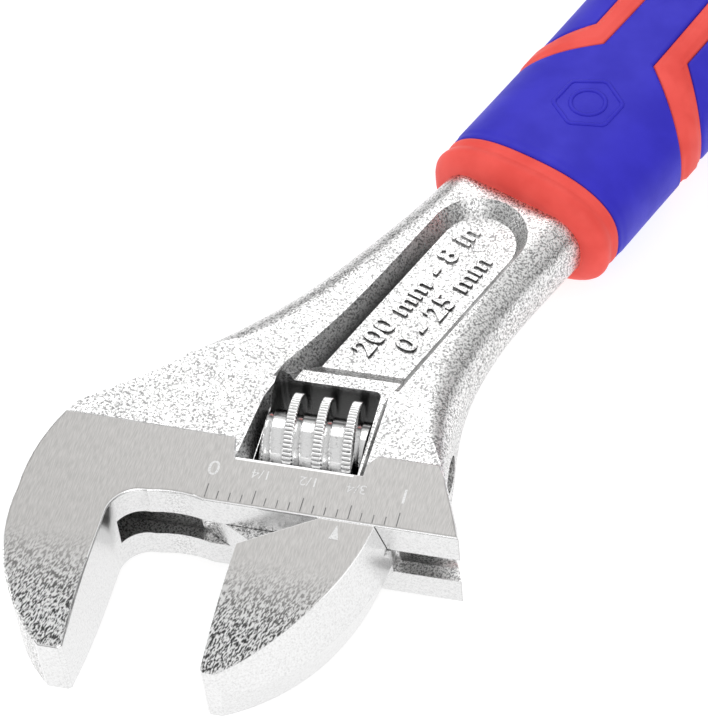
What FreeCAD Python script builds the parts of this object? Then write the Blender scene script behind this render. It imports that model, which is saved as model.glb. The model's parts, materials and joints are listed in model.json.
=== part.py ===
"""Adjustable wrench, 200 mm class, 25.4 mm jaw opening, with a two-colour moulded grip.

Everything is drawn in the head's own plan, in millimetres:
  +X  the way the movable jaw slides, away from the fixed jaw
  +Y  from the jaws' tips towards the handle
  +Z  out of the graduated face
with the corner where the fixed jaw's face meets the slide line as the drawing's zero.
The finished pieces are then moved so that the origin is the middle of the fixed jaw's
gripping face. The handle leans HANDLE_ANGLE from +X, so places along it are given as
s (along the handle) and n (across it).
"""

import FreeCAD, Part
import math
import os

V = FreeCAD.Vector
X_AXIS = V(1, 0, 0)
Y_AXIS = V(0, 1, 0)
Z_AXIS = V(0, 0, 1)
ZERO = V(0, 0, 0)
FAR = 120.0                    # reach of a tool that only has to pass right through

# ---- head and jaws ----
THICK = 14.0                   # thickness of the head and of both jaws
JAW_DEPTH = 24.2               # slide line to the jaws' tips
TIP_THICK = 9.4                # thickness of a jaw at its tip
TAPER_START = 9.0              # the jaws begin to thin, on an arc, this far below the slide line
PAST_TIP = 6.0                 # that arc is drawn this far past the tips
FACE_MIDDLE = 13.0             # slide line to the middle of the gripping faces
OPENING = 18.0                 # opening at rest
HEAD_LENGTH = 45.6             # fixed jaw's face to the far end of the slide
JAW_WIDTH = 12.6               # fixed jaw behind its face, at its widest
EDGE_ROUND = 0.4               # forged edges of the head

# ---- slot and bore that guide the movable jaw ----
SLOT_WIDTH = 4.7
BORE_R = 4.2
BORE_Y = 5.4                   # bore axis above the slide line
SHANK_GAP = 0.06               # running clearance of the rack shank in its bore
WEB_GAP = 0.08                 # clearance on each side of the jaw's web in the slot
SLIDE_GAP = 0.10               # jaw flange below the slide face
PROW_LENGTH = 7.2              # rack shank ahead of the movable jaw's face
TAIL_LENGTH = 19.2             # rack shank behind the movable jaw's face
PROW_SLOPE = 0.53              # fall of the web's sloping front end
PROW_DROP = 3.9                # where that slope meets the flange, below the slide line

# ---- adjusting worm ----
PITCH = 4.0
WORM_R = 7.8                   # the thumb reaches the worm where it stands out of both faces
THREAD_DEPTH = 2.5
CREST = 1.25                   # axial width of the thread's crest
ROOT_GAP = 1.5                 # axial width between threads at the root
MESH_GAP = 0.15                # clearance between worm and rack, at the flanks and the tips
CREST_AT = 0.27                # the crest beside the rack, past the worm's start
WORM_LENGTH = 13.2
END_PLAY = 0.12                # between the worm and the window's far wall
SPRING_PLAY = 0.68             # between the worm and the near wall, bridged by the spring
WINDOW_X = 16.0                # fixed jaw's face to the window's near wall
WINDOW_ROUND = 0.9
WINDOW_BELOW = 0.3             # the window's lower edge above the worm's lowest point
WINDOW_ABOVE = 0.6             # room over the worm
POCKET_DEPTH = 2.5             # sloped rim around the window
POCKET_FLARE = 1.2
POCKET_FLARE_LEFT = 1.9        # the rim is wider beside the fixed jaw
POCKET_LEFT = 0.1              # the rim's foot stands this far outside the window
POCKET_RIGHT = 0.2
POCKET_RIGHT_TOP = 0.6         # and this far at its upper right corner,
POCKET_RIGHT_BEND = 2.0        # which is this far below the window's upper edge
POCKET_LEFT_BEND = 5.2         # where the left side turns towards the recess
POCKET_IN_LEFT = 0.6           # the rim's top stands this far inside the recess's own rim
POCKET_IN_RIGHT = 0.9
BAND_HEIGHT = 11.2             # ground faces beside the slide, towards their far end
BAND_RISE = 1.6                # they are this much higher at the fixed jaw's back,
BAND_DIP = 0.3                 # and this much lower beside the window,
BAND_NOTCH_LEFT = 2.6          # where they step down at these distances from it
BAND_NOTCH_SLANT = 0.7
BAND_NOTCH_RIGHT = 0.4
BAND_NOTCH_RISE = 2.2
BAND_LIP = 0.8                 # height of the ground strip above the window's lower edge
FORGED_STEP = 0.22             # the forged surface lies this much below the ground faces
STEP_RUN = 0.35                # width of the sloping edge between them

# ---- worm pin and spring ----
PIN_R = 2.0
PIN_GAP = 0.05
PIN_SEAT = 5.5                 # how far the pin's nose enters the wall beyond the window
PIN_HEAD_R = 2.5
PIN_HEAD_START = 1.2           # threaded head starts this far past the window
PIN_SUNK = 1.2                 # threaded head below the head's side
DRIVER_SLOT = 0.8
DRIVER_SLOT_DEPTH = 1.4
SPRING_WIRE = 0.6              # the spring is coiled from square wire
SPRING_TURNS = 3.5
SPRING_POCKET_DEPTH = 3.0
SPRING_GAP = 0.12              # from the spring to its pocket
SPRING_FREE = 0.32             # from the spring to the pin
SPRING_END_GAP = 0.05          # from the spring's ends to the faces they press on

# ---- handle ----
HANDLE_ANGLE = 67.5            # handle from the slide direction
HANDLE_N = 13.9                # handle centreline from the drawing's zero
NECK_HALF = 5.5                # half thickness of the neck
NECK_START = 15.0              # s of the first of the neck's sections, and their spacing
NECK_STEP = 6.5
NECK_REACH = 11.7              # handle centreline to the neck's side, at the grip
WEB_HALF = 3.2                 # half thickness at the floor of the I-beam recess
RECESS_TOP_HALF = 7.0          # half width of the recess at its rim
RECESS_FLOOR_HALF = 5.3
RECESS_BACK = 2.0              # the recess's rounded end stops this far before the grip
SHELF_LENGTH = 1.9             # flat shelf between the window and the deep recess
SHELF_RAMP = 2.0
TANG_HALF_WIDTH = 8.5
TANG_HALF = 3.4

# ---- grip ----
GRIP_START = 71.0
COLLAR_LENGTH = 5.2
GRIP_END = 179.0
GRIP_WALL = 2.8                # grip beyond the neck's side, at the collar
GRIP_CROWN = 3.6               # grip beyond the neck's face, at the collar
LIP_R = 2.6                    # round of the collar's front edge
BUTT_LENGTH = 17.0             # length of the rounded butt
GRIP_STATIONS = 24
OVAL_POINTS = 20
OVAL_POWER = 2.5               # 2 is an ellipse, more is squarer
GRIP_GAP = 0.05
SKIN = 1.3                     # depth of the blue panels in the red core
SEAM = 0.12                    # open seam around each panel
CHEVRON = 30.0                 # from the grip's front to where the bands turn
BAND_IN = 4.3                  # bands' inner edge from the centreline
BAND_WIDTH = 3.6
ARM_RUN = 8.2                  # how far the arms come forward at the grip's sides
EYE_BACK = 12.0                # hanging hole's axis before the grip's end
EYE_R = 4.5
EYE_WALL = 6.5                 # tang stops this far before the hole
PANEL_BACK = 27.0              # panels stop this far before the grip's end
EYE_RIM_R = 7.6
EYE_HALF = 8.6

# ---- worked out ----
HALF = THICK / 2.0
SHANK_R = BORE_R - SHANK_GAP
RACK_TOP = BORE_Y + SHANK_R
WORM_Y = RACK_TOP + MESH_GAP - THREAD_DEPTH + WORM_R
ROOT_R = WORM_R - THREAD_DEPTH
WINDOW_LOW = WORM_Y - WORM_R + WINDOW_BELOW
WINDOW_HIGH = WORM_Y + WORM_R + WINDOW_ABOVE
WINDOW_LENGTH = SPRING_PLAY + WORM_LENGTH + END_PLAY
WINDOW_END = WINDOW_X + WINDOW_LENGTH
WORM_END = WINDOW_END - END_PLAY
WORM_START = WORM_END - WORM_LENGTH
SPRING_HALF = SPRING_WIRE / 2.0
SPRING_COIL_R = PIN_R + SPRING_FREE + SPRING_HALF
HEEL_X = HEAD_LENGTH - 4.5
HEEL_Y = 11.4
EYE_S = GRIP_END - EYE_BACK
PANEL_END = GRIP_END - PANEL_BACK
CHEVRON_S = GRIP_START + CHEVRON
RECESS_END = GRIP_START - RECESS_BACK
TANG_START = GRIP_START - 1.0
TANG_END = EYE_S - EYE_R - EYE_WALL
LEAD_SLOPE = PITCH / (2.0 * math.pi * (WORM_R - THREAD_DEPTH / 2.0))
ALONG = V(math.cos(math.radians(HANDLE_ANGLE)), math.sin(math.radians(HANDLE_ANGLE)), 0)
ACROSS = V(ALONG.y, -ALONG.x, 0)


# ---- drawing helpers ----
def on_handle(s, n, z=0.0):
    """Point s along the handle and n across it."""
    return ALONG * s + ACROSS * n + Z_AXIS * z


def line(a, b):
    return Part.makeLine(a, b)


def arc(a, middle, b):
    return Part.Arc(a, middle, b).toShape()


def spline(points):
    curve = Part.BSplineCurve()
    curve.interpolate(points)
    return curve.toShape()


def plan(pairs, z=0.0):
    return [V(x, y, z) for x, y in pairs]


def polygon(points):
    return Part.makePolygon(points + [points[0]])


def prism(wire, vector):
    """Solid swept from a flat closed wire."""
    return Part.Face(wire).extrude(vector)


def plate(edges, half):
    """Flat plate of the given outline, centred on the mid plane."""
    wire = Part.Wire(Part.__sortEdges__(edges))
    wire.translate(V(0, 0, -half))
    return prism(wire, V(0, 0, 2 * half))


def rod(radius, start, end, y):
    """Round bar along X at height y, on the mid plane."""
    return Part.makeCylinder(radius, end - start, V(start, y, 0), X_AXIS)


def rounded_section(s, left, right, half, corner):
    """Closed wire across the handle: a rectangle with round corners, at station s."""
    k = corner * (1.0 - math.sqrt(0.5))
    a, b, c, d = left, right, half, corner
    edges = []
    corners = [(b, c, -1, -1), (a, c, 1, -1), (a, -c, 1, 1), (b, -c, -1, 1)]
    ends = []
    for n, z, dn, dz in corners:
        side = on_handle(s, n, z + dz * d)
        flat = on_handle(s, n + dn * d, z)
        middle = on_handle(s, n + dn * k, z + dz * k)
        ends.append((side, middle, flat))
    for i in range(4):
        side, middle, flat = ends[i]
        first, last = (side, flat) if i % 2 == 0 else (flat, side)
        edges.append(arc(first, middle, last))
        following = ends[(i + 1) % 4]
        start_next = following[2] if i % 2 == 0 else following[0]
        edges.append(line(last, start_next))
    return Part.Wire(edges)


def place(shape):
    """Move from the drawing's zero to the middle of the fixed jaw's face."""
    shape.translate(V(0, FACE_MIDDLE, 0))
    return shape


# ---- wrench body ----
def jaw_taper():
    """Side view of the head and jaws: full thickness, thinning on an arc towards the tips."""
    run = JAW_DEPTH - TAPER_START
    drop = HALF - TIP_THICK / 2.0
    radius = (run * run + drop * drop) / (2.0 * drop)

    def surface(past, side):
        """Point of the arc this far past its start, on the front or the back."""
        fall = radius - math.sqrt(radius * radius - past * past)
        return V(-FAR, -TAPER_START - past, side * (HALF - fall))

    end = run + PAST_TIP
    front = arc(surface(0.0, 1), surface(end / 2.0, 1), surface(end, 1))
    back = arc(surface(end, -1), surface(end / 2.0, -1), surface(0.0, -1))
    edges = [line(V(-FAR, FAR, -HALF), V(-FAR, FAR, HALF)),
             line(V(-FAR, FAR, HALF), surface(0.0, 1)),
             front,
             line(surface(end, 1), surface(end, -1)),
             back,
             line(surface(0.0, -1), V(-FAR, FAR, -HALF))]
    return prism(Part.Wire(edges), V(2 * FAR, 0, 0))


def head_outline():
    """Plan of the fixed jaw, the throat and the head, with a wide stub for the neck."""
    tip = V(-3.2, -JAW_DEPTH, 0)
    toe = V(-0.5, -JAW_DEPTH, 0)
    face_low = V(0, -JAW_DEPTH + 0.5, 0)
    face_high = V(0, -4.2, 0)
    throat = V(4.4, 0.1, 0)
    slide_start = V(12.0, 0, 0)
    slide_end = V(HEAD_LENGTH, 0, 0)
    heel = V(HEEL_X, HEEL_Y, 0)
    back = V(-JAW_WIDTH, -2.5, 0)
    shoulder = V(-9.3, 12.8, 0)
    stub_end = GRIP_START + 13.0
    stub = [V(HEEL_X - 0.1, 17.6, 0), V(HEEL_X + 1.5, 23.6, 0),
            on_handle(stub_end, 31), on_handle(stub_end, -7)]
    neck_left = plan([(-9.3, 12.8), (-5.7, 15.8), (-2.5, 18.2), (0.6, 20.8), (3.6, 24.4), (7.0, 32.0)])
    edges = [line(toe, face_low), line(face_low, face_high),
             arc(face_high, V(1.2, -1.1, 0), throat), arc(throat, V(8.2, 0.5, 0), slide_start),
             line(slide_start, slide_end),
             spline([slide_end, V(HEAD_LENGTH - 1.7, 4.4, 0), V(HEEL_X + 1.2, 8.2, 0), heel]),
             line(heel, stub[0]), line(stub[0], stub[1]), line(stub[1], stub[2]),
             line(stub[2], stub[3]), line(stub[3], neck_left[-1]),
             spline(neck_left[::-1]),
             arc(shoulder, V(0.7 - JAW_WIDTH, 6.0, 0), back),
             arc(back, V(3.1 - JAW_WIDTH, -0.686 * JAW_DEPTH, 0), tip),
             line(tip, toe)]
    return edges


def round_forged_edges(shape):
    """Small round on every long edge between a face and the side of the plate."""
    level = [e for e in shape.Edges if abs(e.BoundBox.ZLength) < 0.5 * HALF]
    rims = [e for e in level if e.BoundBox.ZMin * e.BoundBox.ZMax > 0]
    return shape.makeFillet(EDGE_ROUND, rims)


def neck_stations(grow=0.0):
    """Left edge, right edge, half thickness and corner radius of the neck's even sections."""
    left = (-26.9, -22.2, -19.1, -17.4, -15.9, -14.6, -13.5, -12.5, -11.8, -11.3, -11.1)
    right = (35.6, 26.7, 19.7, 15.8, 13.2, 11.8, 11.1, 11.0, 11.2, 11.5, 11.7)
    thicker = (3.5, 2.3, 1.4, 0.7, 0.25, 0.05, 0.0, 0.0, 0.0, 0.0, 0.0)
    corner = (2.4, 2.8, 3.4, 4.1, 4.6, 4.8, 4.8, 4.8, 4.8, 4.8, 4.8)
    more = NECK_REACH - right[-1]
    rows = []
    for i in range(len(left)):
        s = NECK_START + i * NECK_STEP
        half = NECK_HALF + thicker[i] + grow
        a = HANDLE_N + left[i] - more - grow
        b = HANDLE_N + right[i] + more + grow
        rows.append((s, a, b, half, corner[i] * NECK_HALF / 5.5))
    return rows


def neck_solid(grow=0.0):
    wires = [rounded_section(*row) for row in neck_stations(grow)]
    return Part.makeLoft(wires, True, False)


def tang_solid(grow=0.0):
    """Flat tongue of the handle inside the grip, with a round end."""
    half = TANG_HALF_WIDTH + grow
    turn = TANG_END - TANG_HALF_WIDTH
    edges = [line(on_handle(TANG_START, HANDLE_N - half), on_handle(turn, HANDLE_N - half)),
             arc(on_handle(turn, HANDLE_N - half), on_handle(turn + half, HANDLE_N),
                 on_handle(turn, HANDLE_N + half)),
             line(on_handle(turn, HANDLE_N + half), on_handle(TANG_START, HANDLE_N + half)),
             line(on_handle(TANG_START, HANDLE_N + half), on_handle(TANG_START, HANDLE_N - half))]
    return plate(edges, TANG_HALF + grow)


def across_line(n, y):
    """Point with the given n whose y is given."""
    s = (y + n * ALONG.x) / ALONG.y
    return on_handle(s, n)


def recess_wire(half, front_y, end, z):
    """Outline of the handle recess: square at the head, round at the grip."""
    left, right = HANDLE_N - half, HANDLE_N + half
    turn = end - half
    a = across_line(left, front_y)
    b = on_handle(turn, left)
    c = on_handle(turn, right)
    d = across_line(right, front_y)
    wire = Part.Wire([line(a, b), arc(b, on_handle(turn + half, HANDLE_N), c), line(c, d), line(d, a)])
    wire.translate(V(0, 0, z))
    return wire


def tapered_cut(low_wire, high_wire):
    """Cut with sloping walls on the front, and the same on the back."""
    cut = Part.makeLoft([low_wire, high_wire], True, True)
    return [cut, cut.mirror(ZERO, Z_AXIS)]


def handle_recess():
    high = HALF + 0.5
    grow = (RECESS_TOP_HALF - RECESS_FLOOR_HALF) * (high - WEB_HALF) / (NECK_HALF - WEB_HALF)
    ramp = SHELF_RAMP * (high - WEB_HALF) / (HALF - POCKET_DEPTH - WEB_HALF)
    deep = WINDOW_HIGH + SHELF_LENGTH + SHELF_RAMP
    floor = recess_wire(RECESS_FLOOR_HALF, deep, RECESS_END - 1.2, WEB_HALF)
    rim = recess_wire(RECESS_FLOOR_HALF + grow, deep - ramp, RECESS_END - 1.2 + grow, high)
    return tapered_cut(floor, rim)


def window_pocket():
    """Sloped rim around the window, which runs on into the handle recess."""
    high = HALF + 0.5
    flare = POCKET_FLARE * (high - (HALF - POCKET_DEPTH)) / POCKET_DEPTH
    wider = POCKET_FLARE_LEFT / POCKET_FLARE
    top_y = WINDOW_HIGH + SHELF_LENGTH
    left_n = HANDLE_N - RECESS_TOP_HALF + POCKET_IN_LEFT
    right_n = HANDLE_N + RECESS_TOP_HALF - POCKET_IN_RIGHT

    def outline(out, z):
        corners = [V(WINDOW_X - POCKET_LEFT - wider * out, WINDOW_LOW, z),
                   V(WINDOW_END + POCKET_RIGHT + out, WINDOW_LOW, z),
                   V(WINDOW_END + POCKET_RIGHT_TOP + out, WINDOW_HIGH - POCKET_RIGHT_BEND, z),
                   across_line(right_n + out, top_y) + V(0, 0, z),
                   across_line(left_n - out, top_y) + V(0, 0, z),
                   V(WINDOW_X - POCKET_LEFT - out / wider, WINDOW_HIGH - POCKET_LEFT_BEND, z)]
        return polygon(corners)

    return tapered_cut(outline(0.0, HALF - POCKET_DEPTH), outline(flare, high))


def forged_surface():
    """Cut that leaves the ground faces beside the slide standing a little above the forging."""
    reach = 3 * FAR
    notch = WINDOW_X - BAND_NOTCH_LEFT
    lip = WINDOW_LOW + BAND_LIP

    def outline(out, z):
        border = [V(-FAR, BAND_HEIGHT + BAND_RISE - out, z),
                  V(notch, BAND_HEIGHT - BAND_DIP - out, z),
                  V(notch + BAND_NOTCH_SLANT - out, lip, z),
                  V(WINDOW_END + BAND_NOTCH_RIGHT + out, lip, z),
                  V(WINDOW_END + BAND_NOTCH_RIGHT + BAND_NOTCH_RISE, BAND_HEIGHT - out, z),
                  V(FAR, BAND_HEIGHT - out, z),
                  V(FAR, reach, z), V(-FAR, reach, z)]
        return polygon(border)

    rise = FORGED_STEP + 0.5
    spread = STEP_RUN * rise / FORGED_STEP
    return tapered_cut(outline(0.0, HALF - FORGED_STEP), outline(spread, HALF + 0.5))


def window():
    """Opening right through the head for the worm, with rounded corners."""
    corner = V(WINDOW_X, WINDOW_LOW, -2 * HALF)
    block = Part.makeBox(WINDOW_LENGTH, WINDOW_HIGH - WINDOW_LOW, 4 * HALF, corner)
    uprights = [e for e in block.Edges if abs(e.BoundBox.ZLength) > HALF]
    return block.makeFillet(WINDOW_ROUND, uprights)


def prow_x(y, back=0.0):
    """X of the sloping front end of the movable jaw's web at height y, from the jaw's face."""
    return 3.9 - back - (y + PROW_DROP) / PROW_SLOPE


def slide_slot():
    """Slot for the jaw's web, with the web's own sloping end at its blind end."""
    top = BORE_Y
    low = -PROW_DROP - 0.6
    points = plan([(prow_x(low, 0.5), low), (FAR, low), (FAR, top), (-PROW_LENGTH - 1.0, top),
                   (-PROW_LENGTH - 1.0, 1.9)])
    points.insert(5, V(prow_x(1.9, 0.5), 1.9, 0))
    wire = polygon(points)
    wire.translate(V(0, 0, -SLOT_WIDTH / 2.0))
    return prism(wire, V(0, 0, SLOT_WIDTH))


def pin_hole():
    nose = rod(PIN_R + PIN_GAP, WINDOW_X - PIN_SEAT - 0.5, WINDOW_END + PIN_HEAD_START, WORM_Y)
    threaded = rod(PIN_HEAD_R + PIN_GAP, WINDOW_END + PIN_HEAD_START - 0.3, FAR, WORM_Y)
    return nose.fuse(threaded)


def wrench_body():
    head = plate(head_outline(), HALF + 1.0).common(jaw_taper())
    head = round_forged_edges(head)
    wide = Part.makeBox(FAR + 15.5, 2 * FAR, 4 * HALF, V(-FAR, -FAR, -2 * HALF))
    wide.rotate(ZERO, Z_AXIS, HANDLE_ANGLE)
    body = head.common(wide.fuse(neck_solid()))
    body = body.fuse(tang_solid())
    for tool in handle_recess() + window_pocket() + forged_surface():
        body = body.cut(tool)
    body = body.cut(window()).cut(slide_slot())
    body = body.cut(rod(BORE_R, -PROW_LENGTH - 1.0, FAR, BORE_Y))
    body = body.cut(pin_hole())
    return body


# ---- movable jaw ----
def flange_wire(bulge, z):
    """Outline of the movable jaw's flange, with its back swollen by bulge."""
    face_high = V(0, -5.9, z)
    contact = V(9.4, -SLIDE_GAP, z)
    corner = V(16.6 + bulge, -SLIDE_GAP, z)
    back = [corner, V(14.8 + 0.95 * bulge, -0.306 * JAW_DEPTH, z),
            V(11.7 + 0.8 * bulge, -0.570 * JAW_DEPTH - 0.4 * bulge, z),
            V(7.2 + 0.6 * bulge, -0.802 * JAW_DEPTH - 0.55 * bulge, z),
            V(1.6 + 0.4 * bulge, -JAW_DEPTH, z)]
    toe = V(0.4, -JAW_DEPTH, z)
    face_low = V(0, -JAW_DEPTH + 0.4, z)
    return Part.Wire([line(face_low, face_high), line(face_high, contact), line(contact, corner),
                      spline(back), line(back[-1], toe), line(toe, face_low)])


def flange():
    """Flange with a back that swells to a ridge on the mid plane, thinned at the tip."""
    front = Part.makeLoft([flange_wire(2.2, 0.0), flange_wire(0.0, HALF)], True, True)
    whole = front.fuse(front.mirror(ZERO, Z_AXIS))
    return whole.common(jaw_taper())


def jaw_web():
    """Web from the flange up into the rack shank."""
    half = SLOT_WIDTH / 2.0 - WEB_GAP
    foot = -PROW_DROP - 2.0
    points = plan([(prow_x(-PROW_DROP), -PROW_DROP), (6.0, foot), (15.0, foot), (18.6, -SLIDE_GAP),
                   (TAIL_LENGTH - 0.2, 2.0), (TAIL_LENGTH - 0.2, BORE_Y), (-PROW_LENGTH + 0.2, BORE_Y),
                   (-PROW_LENGTH + 0.2, 2.1), (prow_x(2.1), 2.1)])
    wire = polygon(points)
    wire.translate(V(0, 0, -half))
    return prism(wire, V(0, 0, 2 * half))


def rack_gaps():
    """Cutters for the spaces between the rack's teeth, in mesh with the worm at rest."""
    floor = WORM_Y - WORM_R - MESH_GAP
    top = RACK_TOP + 1.0
    narrow = CREST / 2.0 + MESH_GAP
    tooth_side = (PITCH - ROOT_GAP - CREST) / 2.0
    wide = narrow + tooth_side * (top - floor) / THREAD_DEPTH
    reach = BORE_R + 1.0
    first = WORM_START + CREST_AT - OPENING
    count = int((TAIL_LENGTH + PROW_LENGTH) / PITCH) + 3
    start = first - PITCH * math.floor((first + PROW_LENGTH) / PITCH + 1.0)
    cutters = []
    for i in range(count):
        x = start + i * PITCH
        corners = [V(x - narrow, floor, 0), V(x + narrow, floor, 0),
                   V(x + wide, top, 0), V(x - wide, top, 0)]
        wire = polygon(corners)
        wire.translate(V(reach * LEAD_SLOPE, 0, -reach))
        cutters.append(prism(wire, V(-2 * reach * LEAD_SLOPE, 0, 2 * reach)))
    return cutters


def movable_jaw():
    shank = rod(SHANK_R, -PROW_LENGTH, TAIL_LENGTH, BORE_Y)
    jaw = flange().fuse(jaw_web()).fuse(shank)
    for cutter in rack_gaps():
        jaw = jaw.cut(cutter)
    jaw.translate(V(OPENING, 0, 0))
    return jaw.removeSplitter()


# ---- worm, pin and spring ----
def worm_section():
    """Outline across the worm: its crest, flanks and root are spread around the axis by the lead."""
    side = (PITCH - ROOT_GAP - CREST) / 2.0
    edge = CREST / 2.0
    foot = edge + side

    def point(radius, along):
        """Point of the outline where the thread is this far along the axis from its crest."""
        angle = 2.0 * math.pi * along / PITCH
        return V(radius * math.cos(angle), radius * math.sin(angle), 0)

    def flank(way):
        """One flank, from the crest's edge down to its foot."""
        steps = [i / 6.0 for i in range(7)]
        return spline([point(WORM_R - THREAD_DEPTH * t, way * (edge + side * t)) for t in steps])

    crest = arc(point(WORM_R, -edge), point(WORM_R, 0), point(WORM_R, edge))
    root = arc(point(ROOT_R, foot), point(ROOT_R, PITCH / 2.0), point(ROOT_R, -foot))
    return Part.Wire([crest, flank(1), root, flank(-1)])


def worm():
    """Right-hand single-start worm with a plain bore and a pocket for the spring.

    The outline turns once in each pitch as it is swept along the axis.
    """
    sweep = Part.BRepOffsetAPI.MakePipeShell(Part.Wire([line(ZERO, V(0, 0, WORM_LENGTH))]))
    sweep.setAuxiliarySpine(Part.Wire(Part.makeHelix(PITCH, WORM_LENGTH, WORM_R).Edges), True, 0)
    sweep.add(worm_section(), False, False)
    sweep.build()
    sweep.makeSolid()
    solid = sweep.shape().cut(Part.makeCylinder(PIN_R + PIN_GAP, WORM_LENGTH))
    pocket_r = SPRING_COIL_R + SPRING_HALF + SPRING_GAP
    solid = solid.cut(Part.makeCylinder(pocket_r, SPRING_POCKET_DEPTH))
    solid.rotate(ZERO, Z_AXIS, -360.0 * (CREST_AT / PITCH + 0.25))
    solid.rotate(ZERO, Y_AXIS, 90)
    solid.translate(V(WORM_START, WORM_Y, 0))
    return solid


def worm_pin():
    """Screw that the worm turns on: plain nose, threaded head with a driver slot."""
    start = WINDOW_X - PIN_SEAT
    head_start = WINDOW_END + PIN_HEAD_START
    end = HEEL_X - PIN_SUNK
    pin = rod(PIN_R, start, head_start + 0.5, WORM_Y).fuse(rod(PIN_HEAD_R, head_start, end, WORM_Y))
    corner = V(end - DRIVER_SLOT_DEPTH, WORM_Y - DRIVER_SLOT / 2.0, -2 * PIN_HEAD_R)
    slot = Part.makeBox(DRIVER_SLOT_DEPTH, DRIVER_SLOT, 4 * PIN_HEAD_R, corner)
    return pin.cut(slot)


def worm_spring():
    """Compression spring between the window's near wall and the worm's pocket."""
    start = WINDOW_X + SPRING_HALF + SPRING_END_GAP
    end = WORM_START + SPRING_POCKET_DEPTH - SPRING_HALF - SPRING_END_GAP
    height = end - start
    helix = Part.makeHelix(height / SPRING_TURNS, height, SPRING_COIL_R)
    inner = SPRING_COIL_R - SPRING_HALF
    outer = SPRING_COIL_R + SPRING_HALF
    corners = [V(inner, 0, -SPRING_HALF), V(outer, 0, -SPRING_HALF),
               V(outer, 0, SPRING_HALF), V(inner, 0, SPRING_HALF)]
    section = Part.makePolygon(corners + corners[:1])
    coil = Part.Wire(helix.Edges).makePipeShell([section], True, True)
    coil.rotate(ZERO, Y_AXIS, 90)
    coil.translate(V(start, WORM_Y, 0))
    return coil


# ---- grip ----
def oval_section(s, width, half):
    """Closed smooth wire across the handle: a superellipse, fuller than an ellipse."""
    points = []
    for i in range(OVAL_POINTS):
        angle = 2.0 * math.pi * (i + 0.5) / OVAL_POINTS
        c, d = math.cos(angle), math.sin(angle)
        n = width * math.copysign(abs(c) ** (2.0 / OVAL_POWER), c)
        z = half * math.copysign(abs(d) ** (2.0 / OVAL_POWER), d)
        points.append(on_handle(s, HANDLE_N + n, z))
    curve = Part.BSplineCurve()
    curve.interpolate(points, True)
    return Part.Wire(curve.toShape())


def swell(t):
    """Half width and half thickness of the grip at t, from 0 at the collar to 1 at the butt."""
    width = NECK_REACH + GRIP_WALL + 1.3 * math.sin(0.5 * math.pi * t) ** 2
    half = NECK_HALF + GRIP_CROWN - 0.45 * math.sin(math.pi * min(t, 0.6) / 0.6) ** 2
    return width, half


def grip_solid(inset=0.0):
    """Outer form of the grip, or the same form a little smaller all round.

    The stations crowd towards both ends, where the collar's lip and the butt turn round.
    """
    length = GRIP_END - GRIP_START
    wires = []
    for i in range(GRIP_STATIONS + 1):
        share = 0.5 - 0.5 * math.cos(math.pi * i / GRIP_STATIONS)
        share = 0.001 + 0.998 * share
        ahead = share * length
        behind = length - ahead
        width, half = swell(share)
        lip = LIP_R * (1.0 - math.sqrt(1.0 - max(0.0, 1.0 - ahead / LIP_R) ** 2))
        butt = math.sqrt(1.0 - max(0.0, 1.0 - behind / BUTT_LENGTH) ** 2)
        width = (width - lip) * butt
        half = (half - lip) * (0.45 * butt + 0.55 * math.sqrt(butt))
        if width > inset + 1.0:
            wires.append(oval_section(GRIP_START + ahead, width - inset, half - inset))
    return Part.makeLoft(wires, True, False)


def skin():
    """Layer at the surface that the blue panels fill."""
    return grip_solid().cut(grip_solid(SKIN))


def panel_prism(pairs, gap=0.0):
    wire = polygon([on_handle(s, HANDLE_N + n) for s, n in pairs])
    if gap:
        wire = Part.Wire(wire.makeOffset2D(-gap).Edges)
    wire.translate(V(0, 0, -3 * HALF))
    return prism(wire, V(0, 0, 6 * HALF))


def front_panel_plan():
    """Sleeve behind the collar, with a tongue that runs back between the bands."""
    start = GRIP_START + COLLAR_LENGTH
    wide = 24.0
    slope = ARM_RUN / (14.5 - BAND_IN)
    side = CHEVRON_S - slope * (wide - BAND_IN)
    return [(start, -wide), (side, -wide), (CHEVRON_S, -BAND_IN), (PANEL_END, -BAND_IN + 0.8),
            (PANEL_END, BAND_IN - 0.8), (CHEVRON_S, BAND_IN), (side, wide), (start, wide)]


def side_panel_plan(sign):
    """Pad outside a band, from the chevron's arm back to the butt."""
    inner = BAND_IN + BAND_WIDTH
    wide = 24.0
    corner = CHEVRON_S + BAND_WIDTH
    side = corner - 0.95 * (wide - inner)
    return [(corner, sign * inner), (PANEL_END + 2.0, sign * inner), (PANEL_END + 8.0, sign * wide),
            (side, sign * wide)]


def panel(plan_points):
    return skin().common(panel_prism(plan_points, SEAM))


def grip_core():
    """Red core: collar, bands and butt, with the eyelet for hanging."""
    eye = on_handle(EYE_S, HANDLE_N, -EYE_HALF)
    core = grip_solid().fuse(Part.makeCylinder(EYE_RIM_R, 2 * EYE_HALF, eye))
    for z in (EYE_HALF, -3 * EYE_HALF):
        core = core.cut(Part.makeCylinder(EYE_RIM_R, 2 * EYE_HALF, eye + V(0, 0, EYE_HALF + z)))
    for outline in (front_panel_plan(), side_panel_plan(-1), side_panel_plan(1)):
        core = core.cut(skin().common(panel_prism(outline)))
    core = core.cut(neck_solid(GRIP_GAP)).cut(tang_solid(GRIP_GAP))
    return core.cut(Part.makeCylinder(EYE_R, 4 * EYE_HALF, eye - V(0, 0, EYE_HALF)))


# ---- output ----
def export(name, shape):
    shape = place(shape)
    solids = shape.Solids
    print(f"{name}: {len(solids)} solid, volume {shape.Volume:.0f} mm3, valid {shape.isValid()}")
    result = solids[0] if len(solids) == 1 else Part.makeCompound(solids)
    result.exportStep(f"parts/{name}.step")


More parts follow.
